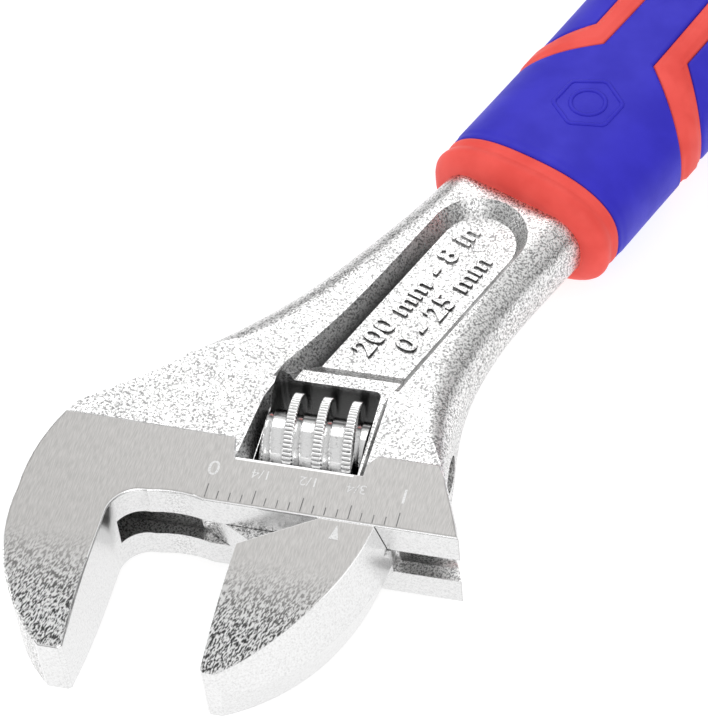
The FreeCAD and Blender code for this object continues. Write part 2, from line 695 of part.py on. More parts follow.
def main():
    os.makedirs("parts", exist_ok=True)
    export("wrench_body", wrench_body())
    export("movable_jaw", movable_jaw())
    export("adjusting_worm", worm())
    export("worm_pin", worm_pin())
    export("worm_spring", worm_spring())
    export("grip_core", grip_core())
    export("grip_front_panel", panel(front_panel_plan()))
    export("grip_side_panel_left", panel(side_panel_plan(-1)))
    export("grip_side_panel_right", panel(side_panel_plan(1)))


main()
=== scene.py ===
# %% [markdown]
# An adjustable wrench with a chromed head and a two-colour moulded grip.
# The engineering model comes first, as a fixed frame: this lesson gives its steel parts their
# finish, and makes the grip, the worm and the markings again as finer surfaces around it.

# %% Load the frame
import json
import math

import bmesh
import bpy
import numpy as np
from mathutils import Matrix, Vector


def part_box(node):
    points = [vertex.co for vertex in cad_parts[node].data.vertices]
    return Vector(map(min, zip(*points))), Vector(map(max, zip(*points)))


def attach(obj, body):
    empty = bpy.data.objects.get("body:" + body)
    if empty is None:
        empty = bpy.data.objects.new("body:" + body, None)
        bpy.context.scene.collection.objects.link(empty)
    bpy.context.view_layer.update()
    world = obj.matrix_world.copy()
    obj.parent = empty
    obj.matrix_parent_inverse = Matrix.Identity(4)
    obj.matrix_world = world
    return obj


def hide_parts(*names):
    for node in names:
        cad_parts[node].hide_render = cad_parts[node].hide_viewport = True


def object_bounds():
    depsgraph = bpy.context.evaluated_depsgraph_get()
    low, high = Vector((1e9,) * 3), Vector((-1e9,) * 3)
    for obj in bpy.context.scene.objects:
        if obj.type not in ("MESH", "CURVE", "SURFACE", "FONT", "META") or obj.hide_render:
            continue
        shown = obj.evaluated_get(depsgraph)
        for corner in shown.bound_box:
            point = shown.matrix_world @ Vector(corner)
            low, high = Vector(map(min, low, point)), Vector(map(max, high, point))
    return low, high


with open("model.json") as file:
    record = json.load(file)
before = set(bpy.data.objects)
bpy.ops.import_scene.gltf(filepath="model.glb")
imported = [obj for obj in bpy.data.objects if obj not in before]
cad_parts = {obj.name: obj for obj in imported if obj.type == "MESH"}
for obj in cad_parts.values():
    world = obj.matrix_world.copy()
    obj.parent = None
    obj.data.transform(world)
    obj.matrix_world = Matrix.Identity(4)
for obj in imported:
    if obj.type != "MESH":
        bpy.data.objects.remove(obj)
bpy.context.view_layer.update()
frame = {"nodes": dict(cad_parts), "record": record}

# %% [markdown]
# The handle leans away from the slide. Places along it are easier to give as s, along the
# handle, and n, across it, with z out of the face. One function turns those into the frame.

# %% Handle coordinates
MM = 0.001
HANDLE_ANGLE = math.radians(67.5)
FACE_MIDDLE = 13.0               # slide line to the frame's origin
HANDLE_N = 13.9                  # handle centreline
ALONG = np.array([math.cos(HANDLE_ANGLE), math.sin(HANDLE_ANGLE), 0.0])
ACROSS = np.array([ALONG[1], -ALONG[0], 0.0])
CORNER = np.array([0.0, FACE_MIDDLE, 0.0])


def on_handle(s, n, z):
    """Frame position in mm: the corner, plus s along, plus n across, plus z up."""
    s, n, z = np.broadcast_arrays(s, n, z)
    up = np.array([0.0, 0.0, 1.0])
    return CORNER + s[..., None] * ALONG + n[..., None] * ACROSS + z[..., None] * up


print("handle runs along", ALONG.round(3))

# %% [markdown]
# The grip, the worm and the beads are smooth moulded or turned forms. They could be modelled by
# hand from primitives; here every new piece is a grid of points worked out with numpy, because a
# formula keeps each form true to its sizes. These helpers turn a grid into quads, and a masked
# grid into a closed shell: outer faces, the same faces lower down and reversed, and a wall
# wherever a face inside the mask meets one outside it.

# %% Grid helpers


def quads(rows, cols, wrap_rows=False, wrap_cols=True):
    """Corner numbers of every cell (i, j): the point, its right neighbour, and the two below."""
    i = np.arange(rows if wrap_rows else rows - 1)[:, None]
    j = np.arange(cols if wrap_cols else cols - 1)[None, :]
    below, right = (i + 1) % rows, (j + 1) % cols
    return np.stack([i * cols + j, i * cols + right, below * cols + right, below * cols + j], -1)


def walls(cells, mask, drop):
    """Wall quads between the upper points and those numbered drop later, around the mask."""
    padded = np.pad(mask, ((1, 1), (0, 0)))
    beyond = [padded[:-2], np.roll(mask, -1, 1), padded[2:], np.roll(mask, 1, 1)]
    found = []
    for side in range(4):
        edge = cells[mask & ~beyond[side]]
        a, b = edge[:, side], edge[:, (side + 1) % 4]
        found.append(np.stack([b, a, a + drop, b + drop], -1))
    return np.concatenate(found)


MERGE_MM = 0.002                 # points closer than this are one point
SLIVER_MM = 0.0005               # edges shorter than this are dissolved


def make_mesh(name, points, faces):
    """Mesh object from an array of points in mm and an array of quads, poles closed."""
    used, faces = np.unique(faces, return_inverse=True)
    faces = faces.reshape(-1, 4)
    mesh = bpy.data.meshes.new(name)
    mesh.from_pydata((points.reshape(-1, 3)[used] * MM).tolist(), [], faces.tolist())
    piece = bpy.data.objects.new(name, mesh)
    bpy.context.scene.collection.objects.link(piece)
    close_poles(mesh)
    mesh.shade_smooth()
    return piece


def close_poles(mesh):
    """Merge points that coincide, drop what collapses, and turn every face outwards."""
    work = bmesh.new()
    work.from_mesh(mesh)
    bmesh.ops.remove_doubles(work, verts=work.verts, dist=MERGE_MM * MM)
    bmesh.ops.dissolve_degenerate(work, edges=work.edges, dist=SLIVER_MM * MM)
    bmesh.ops.recalc_face_normals(work, faces=work.faces)
    if work.calc_volume(signed=True) < 0:
        bmesh.ops.reverse_faces(work, faces=work.faces)
    work.to_mesh(mesh)
    work.free()


def finish(piece, material, body, replaced=()):
    """Give a piece its material, its body and the CAD nodes that it stands for."""
    piece.data.materials.clear()
    piece.data.materials.append(material)
    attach(piece, body)
    if replaced:
        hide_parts(*replaced)
    print(piece.name, len(piece.data.polygons), "faces on", body)
    return piece


print("grid helpers ready")

# %% [markdown]
# Every finish of this wrench is a node tree. Trees could be clicked together in the shader
# editor; written out, each node is one line that can be read and changed. These helpers add a
# node and link its inputs, and give names to the few steps that all the finishes share.

# %% Node helpers


def add(tree, kind, inputs=None, **settings):
    """New node with its settings, and its inputs set to values or linked to sockets."""
    node = tree.nodes.new(kind)
    for key, value in settings.items():
        setattr(node, key, value)
    for key, value in (inputs or {}).items():
        if isinstance(value, bpy.types.NodeSocket):
            tree.links.new(value, node.inputs[key])
        else:
            node.inputs[key].default_value = value
    return node


def calc(tree, operation, a, b=0.0, c=0.0):
    """Math node; returns its output."""
    return add(tree, "ShaderNodeMath", {0: a, 1: b, 2: c}, operation=operation).outputs[0]


def ramp(tree, value, low, high, to_low=0.0, to_high=1.0):
    """Smooth step of a value between two limits."""
    inputs = {"Value": value, "From Min": low, "From Max": high, "To Min": to_low, "To Max": to_high}
    return add(tree, "ShaderNodeMapRange", inputs, interpolation_type="SMOOTHSTEP").outputs[0]


def blend_colour(tree, factor, a, b):
    """Mix of two colours by a factor."""
    node = tree.nodes.new("ShaderNodeMix")
    node.data_type = "RGBA"
    for key, value in ((0, factor), (6, a), (7, b)):
        if isinstance(value, bpy.types.NodeSocket):
            tree.links.new(value, node.inputs[key])
        else:
            node.inputs[key].default_value = value
    return node.outputs[2]


def dot(tree, a, b):
    """Dot product of two vectors."""
    node = add(tree, "ShaderNodeVectorMath", {0: a, 1: b}, operation="DOT_PRODUCT")
    return node.outputs["Value"]


def grey(level, warm=0.0):
    """Grey of one level, leaning to red and away from blue by the share warm."""
    return (level * (1.0 + warm), level, level * (1.0 - warm), 1.0)


def new_group(name, inputs, outputs):
    """Empty shader group with float inputs and the given outputs."""
    tree = bpy.data.node_groups.new(name, "ShaderNodeTree")
    for label, value in inputs.items():
        socket = tree.interface.new_socket(label, in_out="INPUT", socket_type="NodeSocketFloat")
        socket.default_value = value
    for label, kind in outputs.items():
        tree.interface.new_socket(label, in_out="OUTPUT", socket_type=kind)
    return tree, tree.nodes.new("NodeGroupInput"), tree.nodes.new("NodeGroupOutput")


print("node helpers ready")

# %% [markdown]
# Shot-blasted steel is covered with small pits that look dark, because they hold no light. A
# texture painted by hand would stretch over the round neck; noise in the object's own
# coordinates has the same grain on every side. The group gives a mask of the pits, a slow cloud
# for uneven gloss, and a bumped normal, so that steel, plastic and etching can share it.

# %% Group: pitted grain
CLOUD_MM = 6.25                  # size of the slow clouds


def pitted_grain():
    """Pits where stretched noise falls low, with their mask, depth and a normal."""
    tree, given, out = new_group(
        "pitted_grain",
        {"Size mm": 0.35, "Cover": 0.45, "Depth mm": 0.03, "Sharpness": 0.09},
        {"Pits": "NodeSocketFloat", "Cloud": "NodeSocketFloat", "Normal": "NodeSocketVector"})
    place = add(tree, "ShaderNodeTexCoord").outputs["Object"]
    scale = calc(tree, "DIVIDE", 1.0 / MM, given.outputs["Size mm"])
    noise = add(tree, "ShaderNodeTexNoise",
                {"Vector": place, "Scale": scale, "Detail": 3.0, "Roughness": 0.62, "Distortion": 0.6})
    value = noise.outputs[0]
    high = calc(tree, "ADD", given.outputs["Cover"], given.outputs["Sharpness"])
    low = calc(tree, "SUBTRACT", given.outputs["Cover"], given.outputs["Sharpness"])
    pits = ramp(tree, value, low, high, 1.0, 0.0)
    slow = {"Vector": place, "Scale": 1.0 / (CLOUD_MM * MM), "Detail": 3.0}
    cloud = add(tree, "ShaderNodeTexNoise", slow).outputs[0]
    depth = calc(tree, "MULTIPLY", given.outputs["Depth mm"], MM)
    bump = add(tree, "ShaderNodeBump", {"Height": value, "Distance": depth, "Strength": 1.0})
    tree.links.new(pits, out.inputs["Pits"])
    tree.links.new(cloud, out.inputs["Cloud"])
    tree.links.new(bump.outputs[0], out.inputs["Normal"])
    return tree


PITTED = pitted_grain()
print("group", PITTED.name)

# %% [markdown]
# A grinding belt leaves fine parallel scratches. Real scratches could be cut into the mesh, at
# the price of millions of faces; the same noise stretched a long way in one direction looks
# like them from any distance at which a wrench is held.

# %% Group: brush marks


def brush_marks():
    """Fine parallel scratches: noise stretched a long way in one direction."""
    tree, given, out = new_group(
        "brush_marks", {"Width mm": 0.12, "Length mm": 2.5, "Depth mm": 0.004, "Turn": 0.0},
        {"Marks": "NodeSocketFloat", "Normal": "NodeSocketVector"})
    place = add(tree, "ShaderNodeTexCoord").outputs["Object"]
    across = calc(tree, "DIVIDE", 1.0 / MM, given.outputs["Width mm"])
    along = calc(tree, "DIVIDE", 1.0 / MM, given.outputs["Length mm"])
    size = add(tree, "ShaderNodeCombineXYZ", {"X": across, "Y": along, "Z": across}).outputs[0]
    turn = add(tree, "ShaderNodeCombineXYZ", {"Z": given.outputs["Turn"]}).outputs[0]
    laid = add(tree, "ShaderNodeMapping", {"Vector": place, "Rotation": turn}).outputs[0]
    spread = add(tree, "ShaderNodeVectorMath", {0: laid, 1: size}, operation="MULTIPLY").outputs[0]
    marks = add(tree, "ShaderNodeTexNoise", {"Vector": spread, "Scale": 1.0, "Detail": 2.0}).outputs[0]
    depth = calc(tree, "MULTIPLY", given.outputs["Depth mm"], MM)
    bump = add(tree, "ShaderNodeBump", {"Height": marks, "Distance": depth, "Strength": 1.0})
    tree.links.new(marks, out.inputs["Marks"])
    tree.links.new(bump.outputs[0], out.inputs["Normal"])
    return tree


BRUSHED = brush_marks()
print("group", BRUSHED.name)

# %% [markdown]
# The forging is chromed over a shot-blasted skin: bright, with small dark pits. The band
# beside the slide and the flats of the jaws are ground to a warm satin grey, which turns
# coarse towards the jaws' thin tips. Faces that bear on the nut or the slide are smooth.
# Each finish could be a material of its own on chosen faces, but the borders would then follow
# the mesh. One material holds all of them, and tells them apart by place and by which way a
# face looks. First come the masks for the duller walls with painted shade, and for the painted
# highlight lines along edges.

# %% Duller walls with painted shade, and painted highlight lines on edges
WINDOW_IN_X = (12.4, 32.2)       # the worm's window with the pocket round it
WINDOW_IN_Y = (20.1, 37.2)
RECESS_WALL = (7.2, 7.6)         # from the centreline: the recess's walls end between these
RECESS_BEGINS = (36.5, 37.0)     # frame Y
RECESS_SHADE_FADES = (58.0, 74.0)  # frame Y: painted shade on its wall fades towards the grip
SOFT_MM = 0.3                    # width of a soft border
EDGE_TURN = (0.80, 0.97)         # how far a face agrees with its rounded self, from painted edge line to plain


def new_material(name):
    """Material with its node tree and its shader."""
    material = bpy.data.materials.new(name)
    material.use_nodes = True
    tree = material.node_tree
    return material, tree, tree.nodes["Principled BSDF"]


def group(tree, source, **values):
    """Place a shader group with its own values; underscores in names stand for spaces."""
    node = tree.nodes.new("ShaderNodeGroup")
    node.node_tree = source
    for key, value in values.items():
        node.inputs[key.replace("_", " ")].default_value = value
    return node


def between(tree, value, low, high, soft):
    """One inside the limits, nothing outside, with soft borders."""
    return calc(tree, "MULTIPLY", ramp(tree, value, low - soft, low),
                ramp(tree, value, high, high + soft, 1.0, 0.0))


def dull_shaded_walls(tree, place, x, y, steepness):
    """Steep walls of the worm's window and of the handle's recess: duller chrome, and painted shade."""
    window = calc(tree, "MULTIPLY", between(tree, x, *WINDOW_IN_X, SOFT_MM),
                  between(tree, y, *WINDOW_IN_Y, SOFT_MM))
    n = calc(tree, "SUBTRACT", dot(tree, place, tuple(ACROSS)), float(CORNER @ ACROSS) + HANDLE_N)
    near = ramp(tree, calc(tree, "ABSOLUTE", n), *RECESS_WALL, 1.0, 0.0)
    along = calc(tree, "MULTIPLY", ramp(tree, y, *RECESS_BEGINS),
                 ramp(tree, y, *RECESS_SHADE_FADES, 1.0, 0.15))
    recess = calc(tree, "MULTIPLY", near, along)
    return calc(tree, "MULTIPLY", steepness, calc(tree, "MAXIMUM", window, recess))


# Mask for the painted highlight lines along edges.
def edge_highlight_mask(tree, width):
    """How far the surface turns within this width: high along an edge."""
    rounded = add(tree, "ShaderNodeBevel", {"Radius": width * MM}, samples=4).outputs[0]
    flat = add(tree, "ShaderNodeNewGeometry").outputs["Normal"]
    return ramp(tree, dot(tree, rounded, flat), *EDGE_TURN, 1.0, 0.0)


# The walls get duller chrome with painted shade; edges get painted highlight lines.
print("dull walls and worn edges ready")

# %% [markdown]
# The finishes are now laid over one another: forged everywhere, then duller walls with painted
# shade, ground flats, coarse tips and smooth working faces, and at last painted highlight lines
# on borders and edges. The jaw is ground lower down than the body, and it is smooth on every
# face that is not flat.

# %% Chromed steel
GROUND_LEVEL = 6.88              # the body's faces this far from the mid plane are ground
JAW_GROUND_LEVEL = 5.0
FLAT_LOOK = (0.86, 0.93)         # how squarely a face looks out of the wrench, from wall to flat
STEEP_LOOK = (0.55, 0.85)
JAW_FLATS = (1.6, 2.4)           # frame Y: every flat below these is ground
TIP_FULL, TIP_BEGINS = -7.0, 7.0        # frame Y: the jaws' flats turn coarse between these
WORKING_FACES = (13.3, 13.9)     # frame Y: faces that bear on nut and slide are below these
JAW_TOES = (-10.9, -10.5)        # frame Y: the jaws' toes are smooth
BODY_SMOOTH_FROM = -0.4          # frame X: the fixed jaw's working face begins here
JAW_SMOOTH_FROM = -100.0         # far outside, so the whole jaw
BORDER_HIGHLIGHT_IN_Z = (6.80, 6.97)       # painted highlight line on the ground band's border
LIP_HIGHLIGHT_IN_X = (14.4, 30.1)          # painted highlight line on the lip between the window and the ground band
LIP_HIGHLIGHT_IN_Y = (20.16, 20.46)
WALL_SHADE_DEPTH = (3.2, 5.2)          # painted shade on a wall is darkest below these heights
EDGE_HIGHLIGHT_MM = 0.22                   # width of the painted highlight line along an edge


def chromed_steel(name, ground_limit, smooth_from):
    """Forged, ground and smooth faces by place: z for ground, Y for the tips, X for smooth."""
    material, tree, shader = new_material(name)
    coords = add(tree, "ShaderNodeTexCoord")
    place = add(tree, "ShaderNodeVectorMath", {0: coords.outputs["Object"], "Scale": 1.0 / MM},
                operation="SCALE").outputs[0]
    x, y, z = add(tree, "ShaderNodeSeparateXYZ", {0: place}).outputs
    look = add(tree, "ShaderNodeSeparateXYZ", {0: coords.outputs["Normal"]}).outputs
    facing = calc(tree, "ABSOLUTE", look[2])
    height = calc(tree, "ABSOLUTE", z)
    flat = ramp(tree, facing, *FLAT_LOOK)
    wall = calc(tree, "SUBTRACT", 1.0, flat)
    high = ramp(tree, height, ground_limit, ground_limit + 0.06)
    jaw_side = ramp(tree, y, *JAW_FLATS, 1.0, 0.0)
    ground = calc(tree, "MULTIPLY", flat, calc(tree, "MAXIMUM", high, jaw_side))
    tip = ramp(tree, y, TIP_FULL, TIP_BEGINS, 1.0, 0.0)
    inside = calc(tree, "MULTIPLY", ramp(tree, x, smooth_from, smooth_from + 0.2),
                  ramp(tree, y, *WORKING_FACES, 1.0, 0.0))
    inside = calc(tree, "MAXIMUM", inside, ramp(tree, y, *JAW_TOES, 1.0, 0.0))
    smooth = calc(tree, "MULTIPLY", wall, inside)
    border_highlight = calc(tree, "MULTIPLY", wall, between(tree, height, *BORDER_HIGHLIGHT_IN_Z, 0.01))
    lip = calc(tree, "MULTIPLY", between(tree, x, *LIP_HIGHLIGHT_IN_X, 0.1), between(tree, y, *LIP_HIGHLIGHT_IN_Y, 0.06))
    dull_shaded = dull_shaded_walls(tree, place, x, y, ramp(tree, facing, *STEEP_LOOK, 1.0, 0.0))

    forged = group(tree, PITTED, Size_mm=0.30, Cover=0.475, Depth_mm=0.045, Sharpness=0.06)
    sanded = group(tree, PITTED, Size_mm=0.30, Cover=0.42, Depth_mm=0.010, Sharpness=0.2)
    coarse = group(tree, BRUSHED, Width_mm=0.20, Length_mm=0.62, Depth_mm=0.06, Turn=0.35)
    lines = group(tree, BRUSHED, Width_mm=0.14, Length_mm=1.6, Depth_mm=0.004, Turn=0.0)

    forged_colour = blend_colour(tree, forged.outputs["Pits"], grey(0.91, 0.004), grey(0.28))
    # Duller chrome on the steep walls, with painted shade that turns near black deep down.
    dull_shaded_colour = blend_colour(tree, forged.outputs["Pits"], grey(0.58), grey(0.17))
    dull_shaded_colour = blend_colour(tree, ramp(tree, height, *WALL_SHADE_DEPTH), grey(0.07), dull_shaded_colour)
    forged_colour = blend_colour(tree, dull_shaded, forged_colour, dull_shaded_colour)
    shade = ramp(tree, lines.outputs["Marks"], 0.3, 0.7)
    band_colour = blend_colour(tree, shade, grey(0.42, 0.02), grey(0.52, 0.02))
    streaks = ramp(tree, coarse.outputs["Marks"], 0.40, 0.58)
    tip_colour = blend_colour(tree, streaks, grey(0.06), grey(0.80))
    ground_colour = blend_colour(tree, tip, band_colour, tip_colour)
    smooth_colour = blend_colour(tree, sanded.outputs["Pits"], grey(0.80), grey(0.64))
    colour = blend_colour(tree, ground, forged_colour, ground_colour)
    colour = blend_colour(tree, smooth, colour, smooth_colour)
    # Painted highlight lines on the ground band's border and on the window's lip.
    colour = blend_colour(tree, calc(tree, "MAXIMUM", border_highlight, lip), colour, grey(0.98))
    # Painted highlight along edges, and a painted dark line where an edge meets a smooth working face.
    edge = calc(tree, "MULTIPLY", edge_highlight_mask(tree, EDGE_HIGHLIGHT_MM), 0.8)
    colour = blend_colour(tree, edge, colour, blend_colour(tree, smooth, grey(0.97), grey(0.36)))

    rough = ramp(tree, forged.outputs["Cloud"], 0.3, 0.7, 0.24, 0.36)
    rough = add(tree, "ShaderNodeMix", {0: ground, 2: rough, 3: 0.46}).outputs[0]
    rough = add(tree, "ShaderNodeMix", {0: smooth, 2: rough, 3: 0.22}).outputs[0]

    def pick(factor, a, b):
        """Mix of two normals by a factor."""
        return add(tree, "ShaderNodeMix", {0: factor, 4: a, 5: b}, data_type="VECTOR").outputs[1]

    ground_normal = pick(tip, lines.outputs["Normal"], coarse.outputs["Normal"])
    normal = pick(ground, forged.outputs["Normal"], ground_normal)
    normal = pick(smooth, normal, sanded.outputs["Normal"])
    shader.inputs["Metallic"].default_value = 1.0
    tree.links.new(colour, shader.inputs["Base Color"])
    tree.links.new(rough, shader.inputs["Roughness"])
    tree.links.new(normal, shader.inputs["Normal"])
    return material


def paint(node, material):
    """Give a CAD node its material."""
    item = frame["nodes"][node]
    item.data.materials.clear()
    item.data.materials.append(material)


body_steel = chromed_steel("chrome_forging", GROUND_LEVEL, BODY_SMOOTH_FROM)
jaw_steel = chromed_steel("chrome_jaw", JAW_GROUND_LEVEL, JAW_SMOOTH_FROM)
paint("wrench_body", body_steel)
paint("movable_jaw", jaw_steel)
print("chromed steel on wrench_body and movable_jaw")

# %% [markdown]
# The worm, its pin and its spring are turned parts: the worm is polished and plated, the pin
# and the spring are plain steel with fine turning marks. Painted shade darkens the grooves
# between the threads: lamps alone would leave them too bright, so an ambient occlusion node
# finds them and darkens their colour.

# %% Turned steel
GROOVE_MM = 1.8                  # how far the occlusion looks
GROOVE_SHADE_RANGE = (0.36, 0.72)       # occlusion from full painted shade to none


def turned_steel(name, level, rough_low, rough_high):
    """Bright steel of one grey level, with specks, turning marks and painted shade in the grooves."""
    material, tree, shader = new_material(name)
    specks = group(tree, PITTED, Size_mm=0.5, Cover=0.34, Depth_mm=0.008, Sharpness=0.1)
    marks = group(tree, BRUSHED, Width_mm=0.08, Length_mm=3.0, Depth_mm=0.002, Turn=0.0)
    mixed = calc(tree, "MULTIPLY", specks.outputs["Pits"], 0.7)
    colour = blend_colour(tree, mixed, grey(level), grey(0.35 * level))
    # Painted shade: ambient occlusion darkens the colour in the grooves.
    groove_occlusion = add(tree, "ShaderNodeAmbientOcclusion", {"Distance": GROOVE_MM * MM}, samples=6)
    unshaded = ramp(tree, groove_occlusion.outputs["AO"], *GROOVE_SHADE_RANGE)
    colour = blend_colour(tree, unshaded, grey(0.04), colour)
    rough = ramp(tree, marks.outputs["Marks"], 0.3, 0.7, rough_low, rough_high)
    shader.inputs["Metallic"].default_value = 1.0
    tree.links.new(colour, shader.inputs["Base Color"])
    tree.links.new(rough, shader.inputs["Roughness"])
    tree.links.new(specks.outputs["Normal"], shader.inputs["Normal"])
    return material


worm_chrome = turned_steel("chrome_worm", 0.93, 0.06, 0.14)
pin_steel = turned_steel("plain_pin", 0.55, 0.2, 0.35)
spring_steel = turned_steel("spring_wire", 0.45, 0.25, 0.4)
paint("worm_pin", pin_steel)
paint("worm_spring", spring_steel)
print("turned steel on worm_pin and worm_spring")

# %% [markdown]
# The worm is a thumb screw: one right-hand thread whose crest is milled across, like a coin's
# edge. A screw modifier could turn a profile into a thread, but not mill it. Here the radius
# is a function of the angle and the place along the axis, so the whole outside is one grid;
# end faces, the bore and the spring's pocket close it into a ring.

# %% Worm
PITCH = 4.0
CREST_HALF = 0.54                # half the width of the thread's crest
FLANK = 0.625                    # axial width of each of its flanks
THREAD_DEPTH = 2.5
CREST_AT = 0.27                  # the crest on the rack's side, past the worm's start
BORE_R = 2.05
POCKET_R = 3.04                  # the spring's pocket
POCKET_DEPTH = 3.0
MILLING = 84                     # cuts around the crest
MILL_DEPTH = 0.20
MILL_SHAPE = 0.7                 # below 1, so that the cuts are narrower than the lands
MILL_FROM = 0.8                  # share of the thread's height at which the milling begins
END_CHAMFER = 0.45
worm_low, worm_high = (np.array(v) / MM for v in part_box("adjusting_worm"))


def worm_surface(turns=504, steps=170):
    """Radius = root + depth times how far inside the thread; the crest dips at each mill cut."""
    start, end = worm_low[0], worm_high[0]
    outer = 0.5 * (worm_high[2] - worm_low[2])
    angle = np.linspace(0.0, 2.0 * math.pi, turns, endpoint=False)[None, :]
    x = np.linspace(start, end, steps)[:, None]
    crest = start + CREST_AT + PITCH * (angle - math.pi) / (2.0 * math.pi)
    away = np.abs((x - crest + PITCH / 2.0) % PITCH - PITCH / 2.0)
    inside = np.clip((CREST_HALF + FLANK - away) / FLANK, 0.0, 1.0)
    inside = inside * inside * (3.0 - 2.0 * inside)
    mill = np.abs(np.sin(0.5 * MILLING * angle)) ** MILL_SHAPE
    top = np.clip((inside - MILL_FROM) / (1.0 - MILL_FROM), 0.0, 1.0)
    radius = outer - THREAD_DEPTH * (1.0 - inside) - MILL_DEPTH * (1.0 - mill) * top
    from_end = np.minimum(x - start, end - x)
    radius = np.minimum(radius, outer - np.clip(END_CHAMFER - from_end, 0.0, 1.0))
    profile = [(end, POCKET_R), (end, BORE_R), (start + POCKET_DEPTH, BORE_R),
               (start + POCKET_DEPTH, POCKET_R), (start, POCKET_R)]
    bore_x = np.array([p[0] for p in profile])[:, None] + 0.0 * angle
    bore_r = np.array([p[1] for p in profile])[:, None] + 0.0 * angle
    all_x = np.concatenate([x + 0.0 * angle, bore_x])
    all_r = np.concatenate([radius, bore_r])
    axis_y = 0.5 * (worm_low[1] + worm_high[1])
    return np.stack([all_x, axis_y + all_r * np.cos(angle), all_r * np.sin(angle)], -1)


points = worm_surface()
cells = quads(*points.shape[:2], wrap_rows=True)
worm = make_mesh("worm_thumbscrew", points, cells.reshape(-1, 4))
finish(worm, worm_chrome, "worm", ["adjusting_worm"])
worm.data.set_sharp_from_angle(angle=math.radians(38.0))

# %% [markdown]
# The grip is moulded in two colours. Across the handle its outline is a superellipse, fuller
# than an ellipse. Along the handle it widens a little and has a slight waist; it rolls in at
# the collar and rounds off at the butt. A subdivided box could be pushed into this form, but
# its faces would not meet the colours' chevrons. Here the grid's rows and columns lie on those
# lines, and every piece of the grip is a block of the same grid.

# %% Grip form
GRIP_START, GRIP_END = 71.0, 179.0
COLLAR_END = 76.2
LIP_R = 2.6                      # round of the collar's front edge
BUTT = 17.0                      # length over which the butt rounds off
OVAL_POWER = 2.5                 # 2 would be an ellipse
HALF_WIDTH, WIDTH_SWELL = 14.5, 1.3
HALF_THICK, WAIST, WAIST_END = 9.1, 0.45, 0.6   # thinnest halfway to this share of the length
BAND_IN, BAND_OUT = 4.3, 7.9     # bands' edges from the centreline
INNER_TURN, OUTER_TURN = 101.0, 104.6   # s where the bands' edges turn outwards
INNER_SLOPE, OUTER_SLOPE = 0.804, 0.95
BAND_TAPER = 0.8                 # the bands' inner edges close in by this towards the rear
TONGUE_END, SIDE_END = 152.0, 154.0


def form(s):
    """Half width and half thickness of the grip at s, before the lip and the butt."""
    t = np.clip((s - GRIP_START) / (GRIP_END - GRIP_START), 0.0, 1.0)
    width = HALF_WIDTH + WIDTH_SWELL * np.sin(0.5 * math.pi * t) ** 2
    half = HALF_THICK - WAIST * np.sin(math.pi * np.minimum(t, WAIST_END) / WAIST_END) ** 2
    return width, half


def grip_size(s, lip):
    """The form, drawn in by the lip at the front and by the round of the butt."""
    width, half = form(s)
    back = np.clip(1.0 - (GRIP_END - s) / BUTT, 0.0, 1.0)
    butt = np.sqrt(1.0 - back ** 2)
    return (width - lip) * butt, (half - lip) * (0.45 * butt + 0.55 * np.sqrt(butt))


def eased(count):
    """count + 1 places from 0 to 1, closer together at both ends."""
    return 0.5 - 0.5 * np.cos(np.linspace(0.0, math.pi, count + 1))


print("grip from s =", GRIP_START, "to", GRIP_END, "mm")

# %% [markdown]
# The bands' long edges run nearly straight down the grip. Colours painted across a plain grid
# would give them a sawtooth, so whole columns follow each edge. A block of columns runs between
# two offsets from the centreline, each given as shares of the bands' outer and inner edges,
# over the front or the back; a side block turns by angle.

# %% Columns round the grip
BLOCKS = [(14, (1, 0), (0, 1), "front"), (22, (0, 1), (0, -1), "front"),
          (14, (0, -1), (-1, 0), "front"), (44, (-1, 0), (-1, 0), "left"),
          (14, (-1, 0), (0, -1), "back"), (22, (0, -1), (0, 1), "back"), (14, (0, 1), (1, 0), "back"),
          (44, (1, 0), (1, 0), "right")]
COUNTS = [block[0] for block in BLOCKS]
FIRST = np.repeat([block[1] for block in BLOCKS], COUNTS, axis=0).astype(float)
LAST = np.repeat([block[2] for block in BLOCKS], COUNTS, axis=0).astype(float)
PLACE = np.repeat([block[3] for block in BLOCKS], COUNTS)
SHARE = np.concatenate([eased(count)[:-1] for count in COUNTS])
BLOCK = np.repeat(np.arange(len(BLOCKS)), COUNTS)
EDGE_COLUMN = np.cumsum([0] + COUNTS[:-1])      # first column of each block


def column_angle(s, width):
    """Angle round the superellipse of every column where the grip is this wide."""
    taper = np.clip((s - INNER_TURN) / (TONGUE_END - INNER_TURN), 0.0, 1.0)
    shrink = np.minimum(1.0, width / (1.3 * BAND_OUT))
    inner, outer = (BAND_IN - BAND_TAPER * taper) * shrink, BAND_OUT * shrink
    mix = FIRST + (LAST - FIRST) * SHARE[:, None]
    offset = outer * mix[:, 0] + inner * mix[:, 1]
    ratio = np.clip(np.abs(offset) / np.maximum(width, 1e-6), 0.0, 1.0)
    over_front = np.arccos(np.sign(offset) * ratio ** (OVAL_POWER / 2.0))
    edge = np.arccos((outer / np.maximum(width, 1e-6)) ** (OVAL_POWER / 2.0))
    angle = np.where(PLACE == "back", 2.0 * math.pi - over_front, over_front)
    angle = np.where(PLACE == "left", math.pi + edge * (2.0 * SHARE - 1.0), angle)
    return np.where(PLACE == "right", edge * (2.0 * SHARE - 1.0), angle)


def oval(angle, width, half):
    """Superellipse: each of cosine and sine is raised to 2 / power and keeps its sign."""
    power = 2.0 / OVAL_POWER
    c, d = np.cos(angle), np.sin(angle)
    return width * np.sign(c) * np.abs(c) ** power, half * np.sign(d) * np.abs(d) ** power


